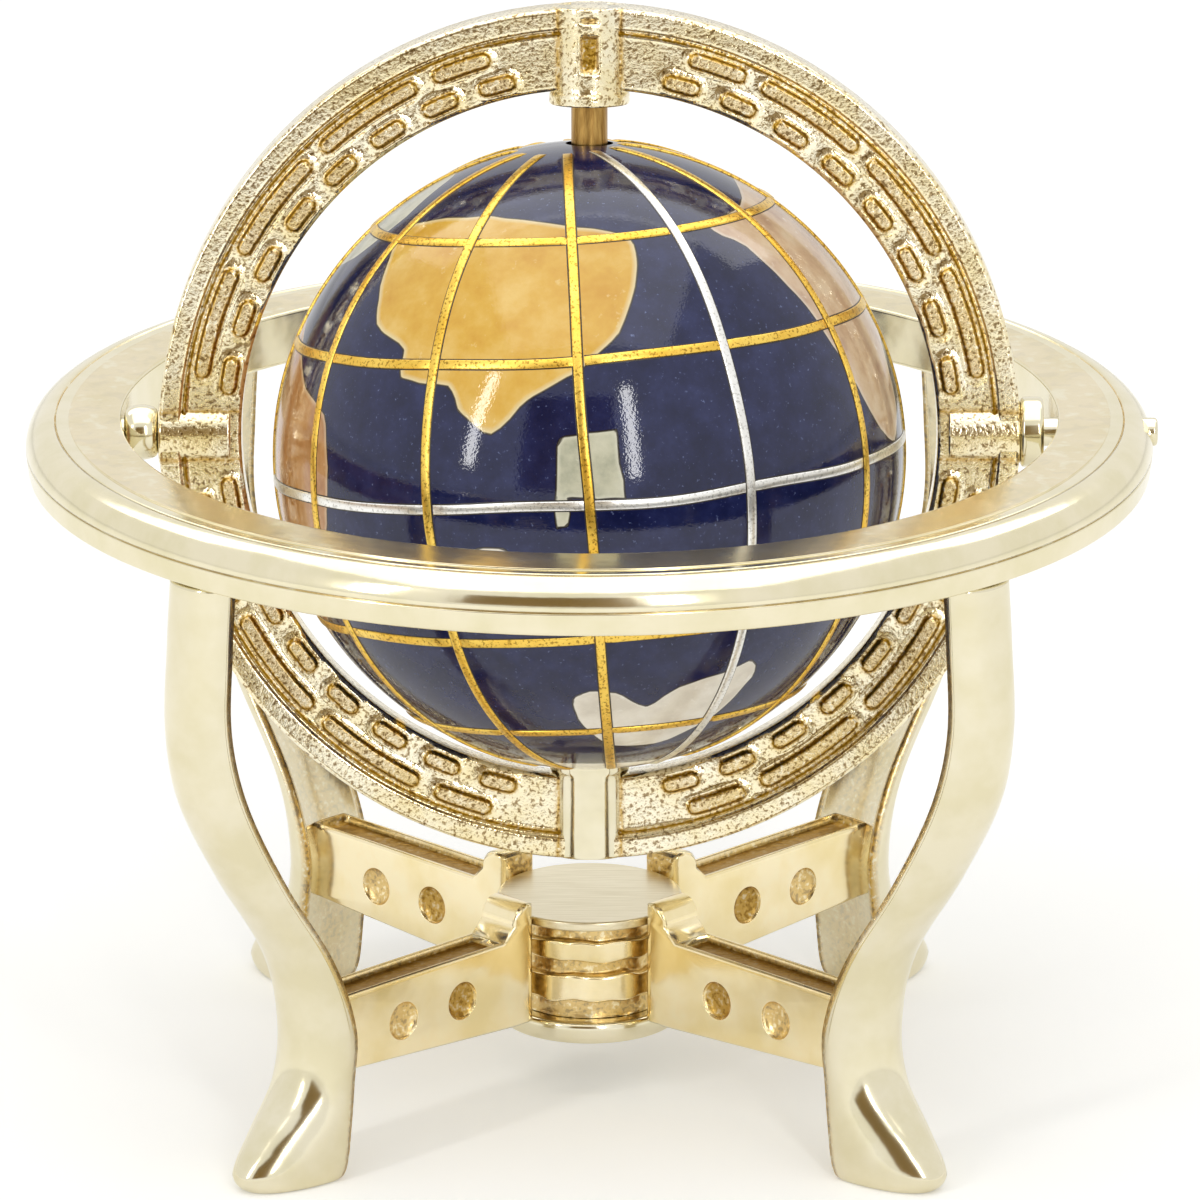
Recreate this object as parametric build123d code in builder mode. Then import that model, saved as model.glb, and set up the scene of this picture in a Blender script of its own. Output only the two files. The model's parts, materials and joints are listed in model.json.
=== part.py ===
from build123d import *
import os
from math import acos, asin, cos, degrees, radians, sin, sqrt

# A miniature desktop globe: a stone-inlaid ball on a polar pin, in a meridian ring that swings on
# two trunnions inside a horizon ring, on four scroll legs tied to a turned hub by four stretchers.
# Millimetres and degrees. Z is up, and the origin is on the table under the middle of the hub.
# The front of the globe faces -Y.

# Clearances
running_clearance = 0.04
press_gap = 0.01
joint_gap = 0.03
seat_gap = 0.05
glue_line = 0.01

# Where the gimbal hangs
ring_clearance = 13.3
lean_angle = 8.0

# Ball
globe_radius = 16.5
skin_thickness = 0.8
wire_width = 0.5
wire_rise = 0.1
meridian_count = 12
high_parallel = 51.0
low_parallel = 26.0
polar_cap_latitude = 68.0
pole_recess_margin = 0.3
pin_hole_margin = 0.3
wire_margin = 0.2

# The wires were laid by hand, and their own pole leans to the left of the pin
grid_roll = 4.0

# Polar pin and the two bushes that the ball turns on
pin_radius = 0.95
pin_inset = 0.6
bush_wall = 0.45
bush_length = 5.0
bush_flange_radius = 2.6
bush_flange_thickness = 0.5
bush_spot_depth = 0.1

# Meridian ring
globe_drop = 1.2
ball_clearance = 0.5
meridian_width = 4.3
meridian_band_width = 1.1
meridian_band_depth = 3.0
meridian_plate_depth = 2.4
pocket_depth = 0.35
inner_pocket_inset = 0.85
inner_pocket_span = 6.3
inner_pocket_width = 0.95
inner_pocket_pitch = 9.4
inner_pocket_start = 9.6
inner_pocket_count = 8
outer_pocket_inset = 0.9
outer_pocket_width = 0.95
outer_pocket_span = 14.5
outer_pocket_pitch = 19.3
outer_pocket_start = 17.0
outer_pocket_count = 3
short_pocket_angle = 71.0
short_pocket_span = 6.5
pole_boss_radius = 2.1
pole_boss_flat = 1.85
stake_window_width = 1.2
stake_window_height = 2.2
stake_window_depth = 0.45
stake_bridge = 0.4

# Trunnions
trunnion_boss_radius = 1.7
trunnion_boss_inset = 0.55
trunnion_seat_rise = 0.05
trunnion_pin_radius = 0.75
trunnion_pin_bite = 3.2
left_pin_share = 0.6
right_pin_proud = 0.25
bead_radius = 1.45
bead_end_radius = 1.0
bead_wall_gap = 0.15
collar_radius = 1.85
collar_thickness = 1.2
collar_round = 0.3

# Horizon ring
horizon_gap = 2.0
horizon_width = 5.0
horizon_rise = 1.15
horizon_drop = 1.75
horizon_flat_share = 0.55
horizon_rim_share = 0.13
horizon_line_width = 0.12
horizon_line_depth = 0.15
horizon_rim_step = 0.08
horizon_band_height = 1.2
horizon_edge_round = 0.2
leg_socket_depth = 1.5

# Legs
leg_angles = {"front_left": 225, "front_right": 315, "rear_left": 135, "rear_right": 45}
leg_top_inset = 2.3
leg_sway = 7.9
leg_side = 0.5
leg_tenon_radius = 0.6
leg_tenon_inset = 1.4
leg_tenon_gap = 0.1
# Share of the leg's height, share of its outward sway, thickness, width and hollow of the back
leg_stations = [
    (0.000, 0.115, 5.0, 4.4, 0.10),
    (0.025, 0.090, 5.7, 4.8, 0.10),
    (0.075, 0.063, 4.7, 4.9, 0.15),
    (0.147, 0.025, 2.9, 4.8, 0.25),
    (0.235, 0.000, 2.6, 4.8, 0.35),
    (0.352, 0.180, 2.0, 4.6, 0.45),
    (0.500, 0.595, 2.1, 4.4, 0.50),
    (0.646, 0.925, 2.3, 4.2, 0.50),
    (0.764, 1.050, 2.1, 4.0, 0.45),
    (0.896, 1.035, 1.95, 4.0, 0.30),
    (1.000, 1.000, 1.95, 4.0, 0.10),
]

# Hub
hub_radius = 4.9
hub_bottom = 3.4
hub_flange_thickness = 1.2
hub_flange_round = 0.4
hub_spool_height = 5.15
hub_band_radius = 4.6
hub_groove_radius = 4.1
hub_low_groove = 1.05
hub_low_band = 1.45
hub_mid_groove = 0.8
hub_high_band = 1.05
hub_cap_thickness = 0.5
hub_cap_round = 0.12
hub_cap_boss_radius = 2.2
hub_cap_boss_depth = 1.75
hub_screw_radius = 0.9
hub_screw_head_radius = 1.9
hub_screw_head_thickness = 0.6
hub_screw_bite = 1.3
hub_screw_slot_width = 0.45
hub_screw_slot_depth = 0.3

# Stretchers
stretcher_thickness = 2.6
stretcher_top_drop = 0.15
stretcher_hub_depth = 4.9
stretcher_leg_depth = 4.1
stretcher_leg_bite = 1.0
stretcher_channel_width = 1.7
stretcher_channel_depth = 0.45
stretcher_bevel = 0.45
post_gap = 0.06
post_width = 1.95
post_rise = 1.8
post_shoulder = 0.7
dimple_radius = 1.05
dimple_depth = 0.35
dimple_drop = 2.4
dimple_shares = (0.306, 0.653)
tenon_width = 1.4
tenon_bite = 1.7
tenon_drop = 0.8
tenon_height = 3.4

# Land outlines on the ball: longitude and latitude, with longitude 0 at the front
land_outlines = {
    "land_asia": [
        (-63, 51), (-34, 56), (-10, 55), (11, 52), (12, 43), (6, 31), (-2, 24), (-11, 19),
        (-18, 12), (-25, 16), (-28, 20), (-39, 21), (-40, 26), (-50, 30), (-57, 40),
    ],
    "land_europe": [
        (-76, 42), (-70, 52), (-78, 63), (-95, 66), (-112, 58), (-118, 44), (-108, 38), (-96, 44), (-86, 38),
    ],
    "land_africa": [
        (-58, 12), (-55, 3), (-56, -8), (-64, -22), (-76, -34), (-86, -30), (-92, -12), (-100, 2),
        (-116, 6), (-119, 18), (-105, 30), (-84, 26), (-68, 16),
    ],
    "land_north_america": [
        (38, 53), (46, 47), (53, 35), (56, 28), (61, 17), (67, 8), (75, 5), (80, 10), (84, 22),
        (98, 26), (106, 38), (112, 50), (104, 60), (84, 63), (60, 57),
    ],
    "land_south_america": [
        (96, 4), (108, -2), (124, -8), (128, -18), (118, -32), (108, -52), (102, -50), (100, -30),
        (92, -12), (90, -2),
    ],
    "land_greenland": [(128, 60), (138, 60), (150, 68), (140, 75), (122, 73)],
    "land_oceania": [
        (-4, -41), (0, -38.5), (6, -39), (14, -43), (21, -38), (31, -35), (37, -33), (40, -37),
        (35, -49), (23, -57), (7, -57), (-2, -49),
    ],
    "land_malay_islands": [(-6, 11.5), (4.5, 13.5), (6.5, 1.2), (-3.5, 1.2), (-3.5, -4), (-6, -4)],
    "land_timor_islands": [(-22, -9), (-16, -8), (-13, -12), (-16, -20), (-22, -18)],
}

# Sizes and planes that follow from the driving ones
core_radius = globe_radius - skin_thickness
bush_bore = pin_radius + running_clearance
bush_radius = bush_bore + bush_wall
flange_seat = core_radius - bush_spot_depth
flange_face = flange_seat + bush_flange_thickness
pole_recess_radius = bush_flange_radius + pole_recess_margin
upper_seat = sqrt(core_radius**2 - pole_recess_radius**2) - bush_flange_thickness
pin_hole_radius = pin_radius + pin_hole_margin
grid_shift = globe_radius * sin(radians(grid_roll))
north_end = degrees(acos((pin_hole_radius + grid_shift + wire_margin) / globe_radius))
south_end = degrees(acos((pole_recess_radius + grid_shift + wire_margin) / globe_radius))
meridian_step = 360 / meridian_count
pole_boss_reach = flange_face + globe_drop + seat_gap
meridian_inner_radius = globe_radius + globe_drop + ball_clearance
meridian_outer_radius = meridian_inner_radius + meridian_width
band_inner_radius = meridian_outer_radius - meridian_band_width
inner_pocket_radius = meridian_inner_radius + inner_pocket_inset
inner_pocket_length = inner_pocket_radius * radians(inner_pocket_span)
outer_pocket_radius = band_inner_radius - outer_pocket_inset
gimbal_height = meridian_outer_radius + ring_clearance
pin_end = meridian_outer_radius - pin_inset
trunnion_seat = meridian_outer_radius + trunnion_seat_rise
trunnion_boss_reach = meridian_inner_radius + trunnion_boss_inset
horizon_inner_radius = meridian_outer_radius + horizon_gap
horizon_outer_radius = horizon_inner_radius + horizon_width
left_pin_bite = left_pin_share * horizon_width
horizon_top = gimbal_height + horizon_rise
horizon_underside = gimbal_height - horizon_drop
leg_top_back = horizon_outer_radius - leg_top_inset
leg_ankle_radius = leg_top_back - leg_sway
leg_tenon_place = horizon_outer_radius - leg_tenon_inset
leg_tenon_height = leg_socket_depth - leg_tenon_gap
spool_bottom = hub_bottom + hub_flange_thickness
spool_top = spool_bottom + hub_spool_height
hub_top = spool_top + hub_cap_thickness
cap_boss_bottom = spool_top - hub_cap_boss_depth
screw_top = cap_boss_bottom + hub_screw_bite
post_inner = hub_radius + post_gap
post_outer = post_inner + post_width
stretcher_top = spool_top - stretcher_top_drop
stretcher_run = leg_ankle_radius - post_outer
dimple_places = [post_outer + share * stretcher_run for share in dimple_shares]
post_top = stretcher_top + post_rise
tenon_end = post_inner - tenon_bite
tenon_top = stretcher_top - tenon_drop
tenon_bottom = tenon_top - tenon_height

pole_direction = Vector(0, sin(radians(lean_angle)), cos(radians(lean_angle)))
front_direction = Vector(0, -cos(radians(lean_angle)), sin(radians(lean_angle)))
gimbal_centre = Vector(0, 0, gimbal_height)
globe_centre = gimbal_centre - pole_direction * globe_drop
ring_plane = Plane(origin=gimbal_centre, x_dir=(1, 0, 0), z_dir=front_direction)
polar_plane = Plane(origin=gimbal_centre, x_dir=(1, 0, 0), z_dir=pole_direction)
globe_plane = Plane(origin=globe_centre, x_dir=(1, 0, 0), z_dir=pole_direction)
front_plane = Plane(origin=globe_centre, x_dir=(1, 0, 0), z_dir=front_direction)
trunnion_plane = Plane(origin=gimbal_centre, x_dir=(0, 1, 0), z_dir=(1, 0, 0))
trunnion_axis = Axis(gimbal_centre, (1, 0, 0))
polar_axis = Axis(globe_centre, pole_direction)
grid_right = Vector(1, 0, 0) * cos(radians(grid_roll)) + pole_direction * sin(radians(grid_roll))
grid_pole = pole_direction * cos(radians(grid_roll)) - Vector(1, 0, 0) * sin(radians(grid_roll))
grid_plane = Plane(origin=globe_centre, x_dir=grid_right, z_dir=grid_pole)
grid_axis = Axis(globe_centre, grid_pole)

os.makedirs("parts", exist_ok=True)


def finish(piece, name):
    """Label a finished piece and write its STEP file."""
    piece.part.label = name
    export_step(piece.part, f"parts/{name}.step")


def radial_plane(angle):
    """Upright plane through the Z axis: local x runs outwards at this angle, local y is up."""
    outwards = Vector(cos(radians(angle)), sin(radians(angle)), 0)
    return Plane(origin=(0, 0, 0), x_dir=outwards, z_dir=outwards.cross(Vector(0, 0, 1)))


def level_plane(angle, height):
    """Level plane at a height: local x runs outwards at this angle."""
    outwards = Vector(cos(radians(angle)), sin(radians(angle)), 0)
    return Plane(origin=(0, 0, height), x_dir=outwards, z_dir=(0, 0, 1))


def direction_at(longitude, latitude, plane=globe_plane):
    """Unit vector from the ball's centre to a place on the ball, with the plane's normal as its pole."""
    east = sin(radians(longitude)) * cos(radians(latitude))
    front = cos(radians(longitude)) * cos(radians(latitude))
    local = Vector(east, -front, sin(radians(latitude)))
    return plane.from_local_coords(local) - globe_centre


# Horizon ring: a turned ring with a flat top, an engraved line, a bullnose edge and a lower band
rim_inner = horizon_inner_radius + horizon_flat_share * horizon_width
rim_outer = rim_inner + horizon_rim_share * horizon_width
nose_start = rim_outer + horizon_line_width
rim_height = horizon_rise - horizon_rim_step
band_top = horizon_band_height - horizon_drop
nose_bottom = band_top + horizon_line_width
nose_depth = rim_height - nose_bottom
band_radius = horizon_outer_radius - horizon_line_depth
profile_plane = Plane(origin=gimbal_centre, x_dir=(1, 0, 0), z_dir=(0, -1, 0))

with BuildPart() as horizon_ring:
    with BuildSketch(profile_plane):
        with BuildLine():
            Polyline(
                (nose_start, rim_height),
                (rim_outer + horizon_line_width / 2, rim_height - horizon_line_depth),
                (rim_outer, rim_height),
                (rim_inner, rim_height),
                (rim_inner, horizon_rise),
                (horizon_inner_radius + horizon_edge_round, horizon_rise),
                (horizon_inner_radius, horizon_rise - horizon_edge_round),
                (horizon_inner_radius, horizon_edge_round - horizon_drop),
                (horizon_inner_radius + horizon_edge_round, -horizon_drop),
                (band_radius - horizon_edge_round, -horizon_drop),
                (band_radius, horizon_edge_round - horizon_drop),
                (horizon_outer_radius, band_top),
                (band_radius, band_top + horizon_line_width / 2),
                (horizon_outer_radius, nose_bottom),
            )
            EllipticalCenterArc(
                (nose_start, nose_bottom), horizon_outer_radius - nose_start, nose_depth, arc_size=90
            )
        make_face()
    revolve(axis=Axis(gimbal_centre, (0, 0, 1)))
    # Trunnion bores: blind on the left, right through on the right
    with BuildSketch(trunnion_plane):
        Circle(trunnion_pin_radius + running_clearance)
    extrude(amount=horizon_outer_radius + right_pin_proud, mode=Mode.SUBTRACT)
    with BuildSketch(trunnion_plane):
        Circle(trunnion_pin_radius + running_clearance)
    extrude(amount=-(horizon_inner_radius + left_pin_bite + joint_gap), mode=Mode.SUBTRACT)
    # Sockets for the leg tenons
    for angle in leg_angles.values():
        with BuildSketch(level_plane(angle, horizon_underside)):
            with Locations((leg_tenon_place, 0)):
                Circle(leg_tenon_radius + press_gap)
        extrude(amount=leg_socket_depth, mode=Mode.SUBTRACT)
finish(horizon_ring, "horizon_ring")


# Legs: cast scrolls, round in front and hollow behind, with a tenon that enters the horizon ring
legs = {}
for place, angle in leg_angles.items():
    with BuildPart() as leg:
        for height_share, sway_share, thickness, width, hollow in leg_stations:
            back = leg_ankle_radius + sway_share * leg_sway
            with BuildSketch(level_plane(angle, height_share * horizon_underside)):
                with BuildLine():
                    ThreePointArc((back, width / 2), (back + hollow, 0), (back, -width / 2))
                    Line((back, -width / 2), (back + leg_side, -width / 2))
                    EllipticalCenterArc(
                        (back + leg_side, 0), thickness - leg_side, width / 2, -90, arc_size=180
                    )
                    Line((back + leg_side, width / 2), (back, width / 2))
                make_face()
        loft()
        with BuildSketch(level_plane(angle, horizon_underside)):
            with Locations((leg_tenon_place, 0)):
                Circle(leg_tenon_radius)
        extrude(amount=leg_tenon_height)
    legs[place] = leg.part
    finish(leg, f"leg_{place}")


# Hub: a spool between a rounded flange and a brushed cap, drawn together by a screw from below
with BuildPart() as hub_flange:
    with BuildSketch(Plane.XY.offset(hub_bottom)):
        Circle(hub_radius)
    extrude(amount=hub_flange_thickness)
    flange_edges = hub_flange.edges().filter_by(GeomType.CIRCLE)
    fillet(flange_edges, radius=hub_flange_round)
    with BuildSketch(Plane.XY.offset(hub_bottom)):
        Circle(hub_screw_radius + joint_gap)
    extrude(amount=hub_flange_thickness, mode=Mode.SUBTRACT)
    with BuildSketch(Plane.XY.offset(hub_bottom)):
        Circle(hub_screw_head_radius + joint_gap)
    extrude(amount=hub_screw_head_thickness, mode=Mode.SUBTRACT)
finish(hub_flange, "hub_flange")

with BuildPart() as hub_spool:
    rise = spool_bottom
    band_plan = [
        (hub_low_groove, hub_groove_radius),
        (hub_low_band, hub_band_radius),
        (hub_mid_groove, hub_groove_radius),
        (hub_high_band, hub_band_radius),
    ]
    for band_height, band_reach in band_plan:
        with BuildSketch(Plane.XY.offset(rise)):
            Circle(band_reach)
        extrude(amount=band_height)
        rise += band_height
    with BuildSketch(Plane.XY.offset(rise)):
        Circle(hub_groove_radius)
    extrude(amount=spool_top - rise)
    with BuildSketch(Plane.XY.offset(spool_bottom)):
        Circle(hub_screw_radius + joint_gap)
    extrude(amount=hub_spool_height, mode=Mode.SUBTRACT)
    with BuildSketch(Plane.XY.offset(spool_top)):
        Circle(hub_cap_boss_radius + joint_gap)
    extrude(amount=-hub_cap_boss_depth, mode=Mode.SUBTRACT)
    # Mortises for the stretcher tenons
    for angle in leg_angles.values():
        with BuildSketch(level_plane(angle, tenon_bottom - joint_gap)):
            with Locations((tenon_end - joint_gap, 0)):
                Rectangle(hub_radius, tenon_width + 2 * joint_gap, align=(Align.MIN, Align.CENTER))
        extrude(amount=tenon_height + 2 * joint_gap, mode=Mode.SUBTRACT)
finish(hub_spool, "hub_spool")

with BuildPart() as hub_cap:
    with BuildSketch(Plane.XY.offset(spool_top)):
        Circle(hub_radius)
    extrude(amount=hub_cap_thickness)
    fillet(hub_cap.edges().filter_by(GeomType.CIRCLE).sort_by(Axis.Z)[-1], radius=hub_cap_round)
    with BuildSketch(Plane.XY.offset(spool_top)):
        Circle(hub_cap_boss_radius)
    extrude(amount=-hub_cap_boss_depth)
    with BuildSketch(Plane.XY.offset(cap_boss_bottom)):
        Circle(hub_screw_radius + press_gap)
    extrude(amount=hub_screw_bite + joint_gap, mode=Mode.SUBTRACT)
finish(hub_cap, "hub_cap")

with BuildPart() as hub_screw:
    with BuildSketch(Plane.XY.offset(hub_bottom)):
        Circle(hub_screw_radius)
    extrude(amount=screw_top - hub_bottom)
    with BuildSketch(Plane.XY.offset(hub_bottom)):
        Circle(hub_screw_head_radius)
    extrude(amount=hub_screw_head_thickness)
    with BuildSketch(Plane.XY.offset(hub_bottom)):
        Rectangle(2 * hub_screw_head_radius, hub_screw_slot_width)
    extrude(amount=hub_screw_slot_depth, mode=Mode.SUBTRACT)
finish(hub_screw, "hub_screw")


# Stretchers: flat bars with a channel on top, ejector dimples on the sides and a post at the hub
post_round = post_width / 2
for place, angle in leg_angles.items():
    side = radial_plane(angle)
    bar_end = leg_ankle_radius + stretcher_leg_bite
    with BuildPart() as stretcher:
        with BuildSketch(side):
            with BuildLine():
                Polyline(
                    (post_outer, post_top - post_round),
                    (post_outer, stretcher_top + post_shoulder),
                    (post_outer + post_shoulder, stretcher_top),
                    (bar_end, stretcher_top),
                    (bar_end, stretcher_top - stretcher_leg_depth),
                    (post_outer, stretcher_top - stretcher_hub_depth),
                    (post_inner, stretcher_top - stretcher_hub_depth),
                    (post_inner, post_top - post_round),
                )
                CenterArc((post_inner + post_round, post_top - post_round), post_round, 0, 180)
            make_face()
        extrude(amount=stretcher_thickness / 2, both=True)
        chamfer(stretcher.faces().sort_by(Axis.Z)[0].edges().filter_by(GeomType.LINE), length=stretcher_bevel)
        # Channel along the top, between the post and the leg
        with BuildSketch(level_plane(angle, stretcher_top)):
            with Locations((post_outer + post_shoulder, 0)):
                Rectangle(bar_end, stretcher_channel_width, align=(Align.MIN, Align.CENTER))
        extrude(amount=-stretcher_channel_depth, mode=Mode.SUBTRACT)
        # Dimples on both sides
        for turn in (1, -1):
            with BuildSketch(side.offset(turn * stretcher_thickness / 2)):
                with Locations([(reach, stretcher_top - dimple_drop) for reach in dimple_places]):
                    Circle(dimple_radius)
            extrude(amount=-turn * dimple_depth, mode=Mode.SUBTRACT)
        # Tenon into the hub
        with BuildSketch(side):
            with Locations((tenon_end, tenon_bottom)):
                Rectangle(tenon_bite, tenon_height, align=(Align.MIN, Align.MIN))
        extrude(amount=tenon_width / 2, both=True)
        # The bar ends on the hollow back of its leg
        add(legs[place], mode=Mode.SUBTRACT)
    finish(stretcher, f"stretcher_{place}")


# Meridian ring: a cast ring with a raised outer band, sunken pockets and four bosses
pocket_faces = [(1, meridian_plate_depth / 2), (-1, meridian_plate_depth / 2)]
boss_length = meridian_outer_radius - pole_boss_reach
window_top = band_inner_radius - stake_bridge / 2
window_inset = meridian_outer_radius - stake_bridge

with BuildPart() as meridian_ring:
    with BuildSketch(ring_plane):
        Circle(meridian_outer_radius)
        Circle(meridian_inner_radius, mode=Mode.SUBTRACT)
    extrude(amount=meridian_plate_depth / 2, both=True)
    with BuildSketch(ring_plane):
        Circle(meridian_outer_radius)
        Circle(band_inner_radius, mode=Mode.SUBTRACT)
    extrude(amount=meridian_band_depth / 2, both=True)
    # Two rows of pockets on both faces, mirrored from quadrant to quadrant
    for turn, face_height in pocket_faces:
        with BuildSketch(ring_plane.offset(turn * face_height)):
            for quadrant in range(4):
                for index in range(inner_pocket_count):
                    rise_angle = inner_pocket_start + index * inner_pocket_pitch
                    pocket_angle = quadrant * 90 + (rise_angle if quadrant % 2 == 0 else 90 - rise_angle)
                    with PolarLocations(inner_pocket_radius, 1, start_angle=pocket_angle):
                        SlotOverall(inner_pocket_length, inner_pocket_width, rotation=90)
                spans = [(outer_pocket_start + index * outer_pocket_pitch, outer_pocket_span)
                         for index in range(outer_pocket_count)]
                for rise_angle, span in spans + [(short_pocket_angle, short_pocket_span)]:
                    pocket_angle = quadrant * 90 + (rise_angle if quadrant % 2 == 0 else 90 - rise_angle)
                    run = Edge.make_circle(
                        outer_pocket_radius,
                        start_angle=pocket_angle - span / 2,
                        end_angle=pocket_angle + span / 2,
                    )
                    SlotArc(run, outer_pocket_width)
        extrude(amount=-turn * pocket_depth, mode=Mode.SUBTRACT)
    # Pole bosses above and below, trunnion bosses left and right
    for turn in (1, -1):
        with BuildSketch(polar_plane.offset(turn * pole_boss_reach)):
            Circle(pole_boss_radius)
        extrude(amount=turn * (boss_length - press_gap))
        with BuildSketch(trunnion_plane.offset(turn * trunnion_boss_reach)):
            Circle(trunnion_boss_radius)
        extrude(amount=turn * (trunnion_seat - trunnion_boss_reach))
    # Flat front on the lower pole boss
    with BuildSketch(ring_plane.offset(pole_boss_flat)):
        with Locations((0, -meridian_outer_radius)):
            Rectangle(2 * pole_boss_radius, boss_length, align=(Align.CENTER, Align.MIN))
    extrude(amount=pole_boss_radius, mode=Mode.SUBTRACT)
    # Stake windows in the front of the upper pole boss
    with BuildSketch(ring_plane.offset(pole_boss_radius - stake_window_depth)):
        with Locations((0, window_top)):
            Rectangle(stake_window_width, stake_window_height, align=(Align.CENTER, Align.MAX))
        with Locations((0, window_inset)):
            Rectangle(
                stake_window_width,
                window_inset - window_top - stake_bridge,
                align=(Align.CENTER, Align.MAX),
            )
    extrude(amount=pole_boss_radius, mode=Mode.SUBTRACT)
    # Bore for the polar pin, open at the top, and bores for the trunnion pins
    with BuildSketch(polar_plane.offset(-pin_end)):
        Circle(pin_radius + press_gap)
    extrude(amount=pin_end + meridian_outer_radius, mode=Mode.SUBTRACT)
    for turn in (1, -1):
        with BuildSketch(trunnion_plane.offset(turn * (trunnion_seat - trunnion_pin_bite))):
            Circle(trunnion_pin_radius + press_gap)
        extrude(amount=turn * trunnion_pin_bite, mode=Mode.SUBTRACT)
finish(meridian_ring, "meridian_ring")

with BuildPart() as polar_pin:
    with BuildSketch(polar_plane.offset(-pin_end)):
        Circle(pin_radius)
    extrude(amount=2 * pin_end)
finish(polar_pin, "polar_pin")

pin_root = trunnion_seat - trunnion_pin_bite
with BuildPart() as trunnion_pin_left:
    with BuildSketch(trunnion_plane.offset(-pin_root)):
        Circle(trunnion_pin_radius)
    extrude(amount=-(horizon_inner_radius + left_pin_bite - pin_root))
finish(trunnion_pin_left, "trunnion_pin_left")

with BuildPart() as trunnion_pin_right:
    with BuildSketch(trunnion_plane.offset(pin_root)):
        Circle(trunnion_pin_radius)
    extrude(amount=horizon_outer_radius + right_pin_proud - pin_root)
    fillet(trunnion_pin_right.edges().sort_by(Axis.X)[-1], radius=right_pin_proud)
finish(trunnion_pin_right, "trunnion_pin_right")

bead_start = trunnion_seat
bead_end = horizon_inner_radius - bead_wall_gap
bead_bore = trunnion_pin_radius + press_gap
with BuildPart() as trunnion_bead:
    with BuildSketch(profile_plane):
        with BuildLine():
            ThreePointArc(
                (-bead_start, bead_end_radius),
                (-(bead_start + bead_end) / 2, bead_radius),
                (-bead_end, bead_end_radius),
            )
            Polyline(
                (-bead_end, bead_end_radius),
                (-bead_end, bead_bore),
                (-bead_start, bead_bore),
                (-bead_start, bead_end_radius),
            )
        make_face()
    revolve(axis=trunnion_axis)
finish(trunnion_bead, "trunnion_bead_left")

with BuildPart() as trunnion_collar:
    with BuildSketch(trunnion_plane.offset(trunnion_seat)):
        Circle(collar_radius)
    extrude(amount=collar_thickness)
    fillet(trunnion_collar.edges().sort_by(Axis.X)[-1], radius=collar_round)
    with BuildSketch(trunnion_plane.offset(trunnion_seat)):
        Circle(bead_bore)
    extrude(amount=collar_thickness, mode=Mode.SUBTRACT)
finish(trunnion_collar, "trunnion_collar_right")


# Ball: a resin core on two flanged bushes
with BuildPart() as globe_core:
    with BuildSketch(front_plane):
        with BuildLine():
            CenterArc((0, 0), core_radius, -90, 180)
            Line((0, core_radius), (0, -core_radius))
        make_face()
    revolve(axis=polar_axis)
    with BuildSketch(globe_plane.offset(-globe_radius)):
        Circle(bush_radius + press_gap)
    extrude(amount=2 * globe_radius, mode=Mode.SUBTRACT)
    for turn, seat in ((1, upper_seat), (-1, flange_seat)):
        with BuildSketch(globe_plane.offset(turn * seat)):
            Circle(pole_recess_radius)
        extrude(amount=turn * globe_radius, mode=Mode.SUBTRACT)
finish(globe_core, "globe_core")

# The upper bush is under the skin, and the ball rests on the lower one
for turn, seat, name in ((1, upper_seat, "bush_upper"), (-1, flange_seat, "bush_lower")):
    with BuildPart() as bush:
        with BuildSketch(globe_plane.offset(turn * seat)):
            Circle(bush_flange_radius)
        extrude(amount=turn * bush_flange_thickness)
        with BuildSketch(globe_plane.offset(turn * seat)):
            Circle(bush_radius)
        extrude(amount=-turn * bush_length)
        with BuildSketch(globe_plane.offset(turn * (seat + bush_flange_thickness))):
            Circle(bush_bore)
        extrude(amount=-turn * (bush_length + bush_flange_thickness), mode=Mode.SUBTRACT)
    finish(bush, name)


def meridian_wire(longitude):
    """A flat wire laid on the skin from near one pole to near the other."""
    outwards = direction_at(longitude, -south_end, grid_plane)
    across = direction_at(longitude + 90, 0, grid_plane)
    with BuildSketch(Plane(origin=globe_centre, x_dir=outwards, z_dir=outwards.cross(across))) as section:
        with Locations((globe_radius + glue_line, 0)):
            Rectangle(wire_rise - glue_line, wire_width, align=(Align.MIN, Align.CENTER))
    revolve(section.sketch, axis=Axis(globe_centre, -across), revolution_arc=south_end + north_end)


def parallel_section(longitude, latitude):
    """Section of a flat wire that is laid on the skin along a parallel."""
    outwards = direction_at(longitude, 0, grid_plane)
    base = globe_radius + glue_line
    crown = globe_radius + wire_rise
    spread = degrees(wire_width / 2 / globe_radius)
    low = Vector(cos(radians(latitude - spread)), sin(radians(latitude - spread)))
    high = Vector(cos(radians(latitude + spread)), sin(radians(latitude + spread)))
    plane = Plane(origin=globe_centre, x_dir=outwards, z_dir=outwards.cross(grid_pole))
    with BuildSketch(plane) as section:
        with BuildLine():
            Line(low * base, low * crown)
            CenterArc((0, 0), crown, latitude - spread, 2 * spread)
            Line(high * crown, high * base)
            CenterArc((0, 0), base, latitude - spread, 2 * spread)
        make_face()
    return section.sketch


def parallel_wires(latitude):
    """Wires along one parallel, each from one meridian wire to the next."""
    spread = degrees(wire_width / 2 / globe_radius)
    reach = globe_radius * cos(radians(abs(latitude) + spread))
    margin = degrees(asin((wire_width / 2 + press_gap) / reach))
    for index in range(meridian_count):
        section = parallel_section(index * meridian_step + margin, latitude)
        revolve(section, axis=grid_axis, revolution_arc=meridian_step - 2 * margin)


# Wires on the skin: a silver equator and date line, the other meridians and parallels in brass.
# The date line is the first meridian to the right of the front one.
with BuildPart() as date_line:
    meridian_wire(meridian_step)
finish(date_line, "date_line_wire")

with BuildPart() as meridian_wires:
    for index in range(2, meridian_count + 1):
        meridian_wire(index * meridian_step)
finish(meridian_wires, "meridian_wires")

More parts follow.
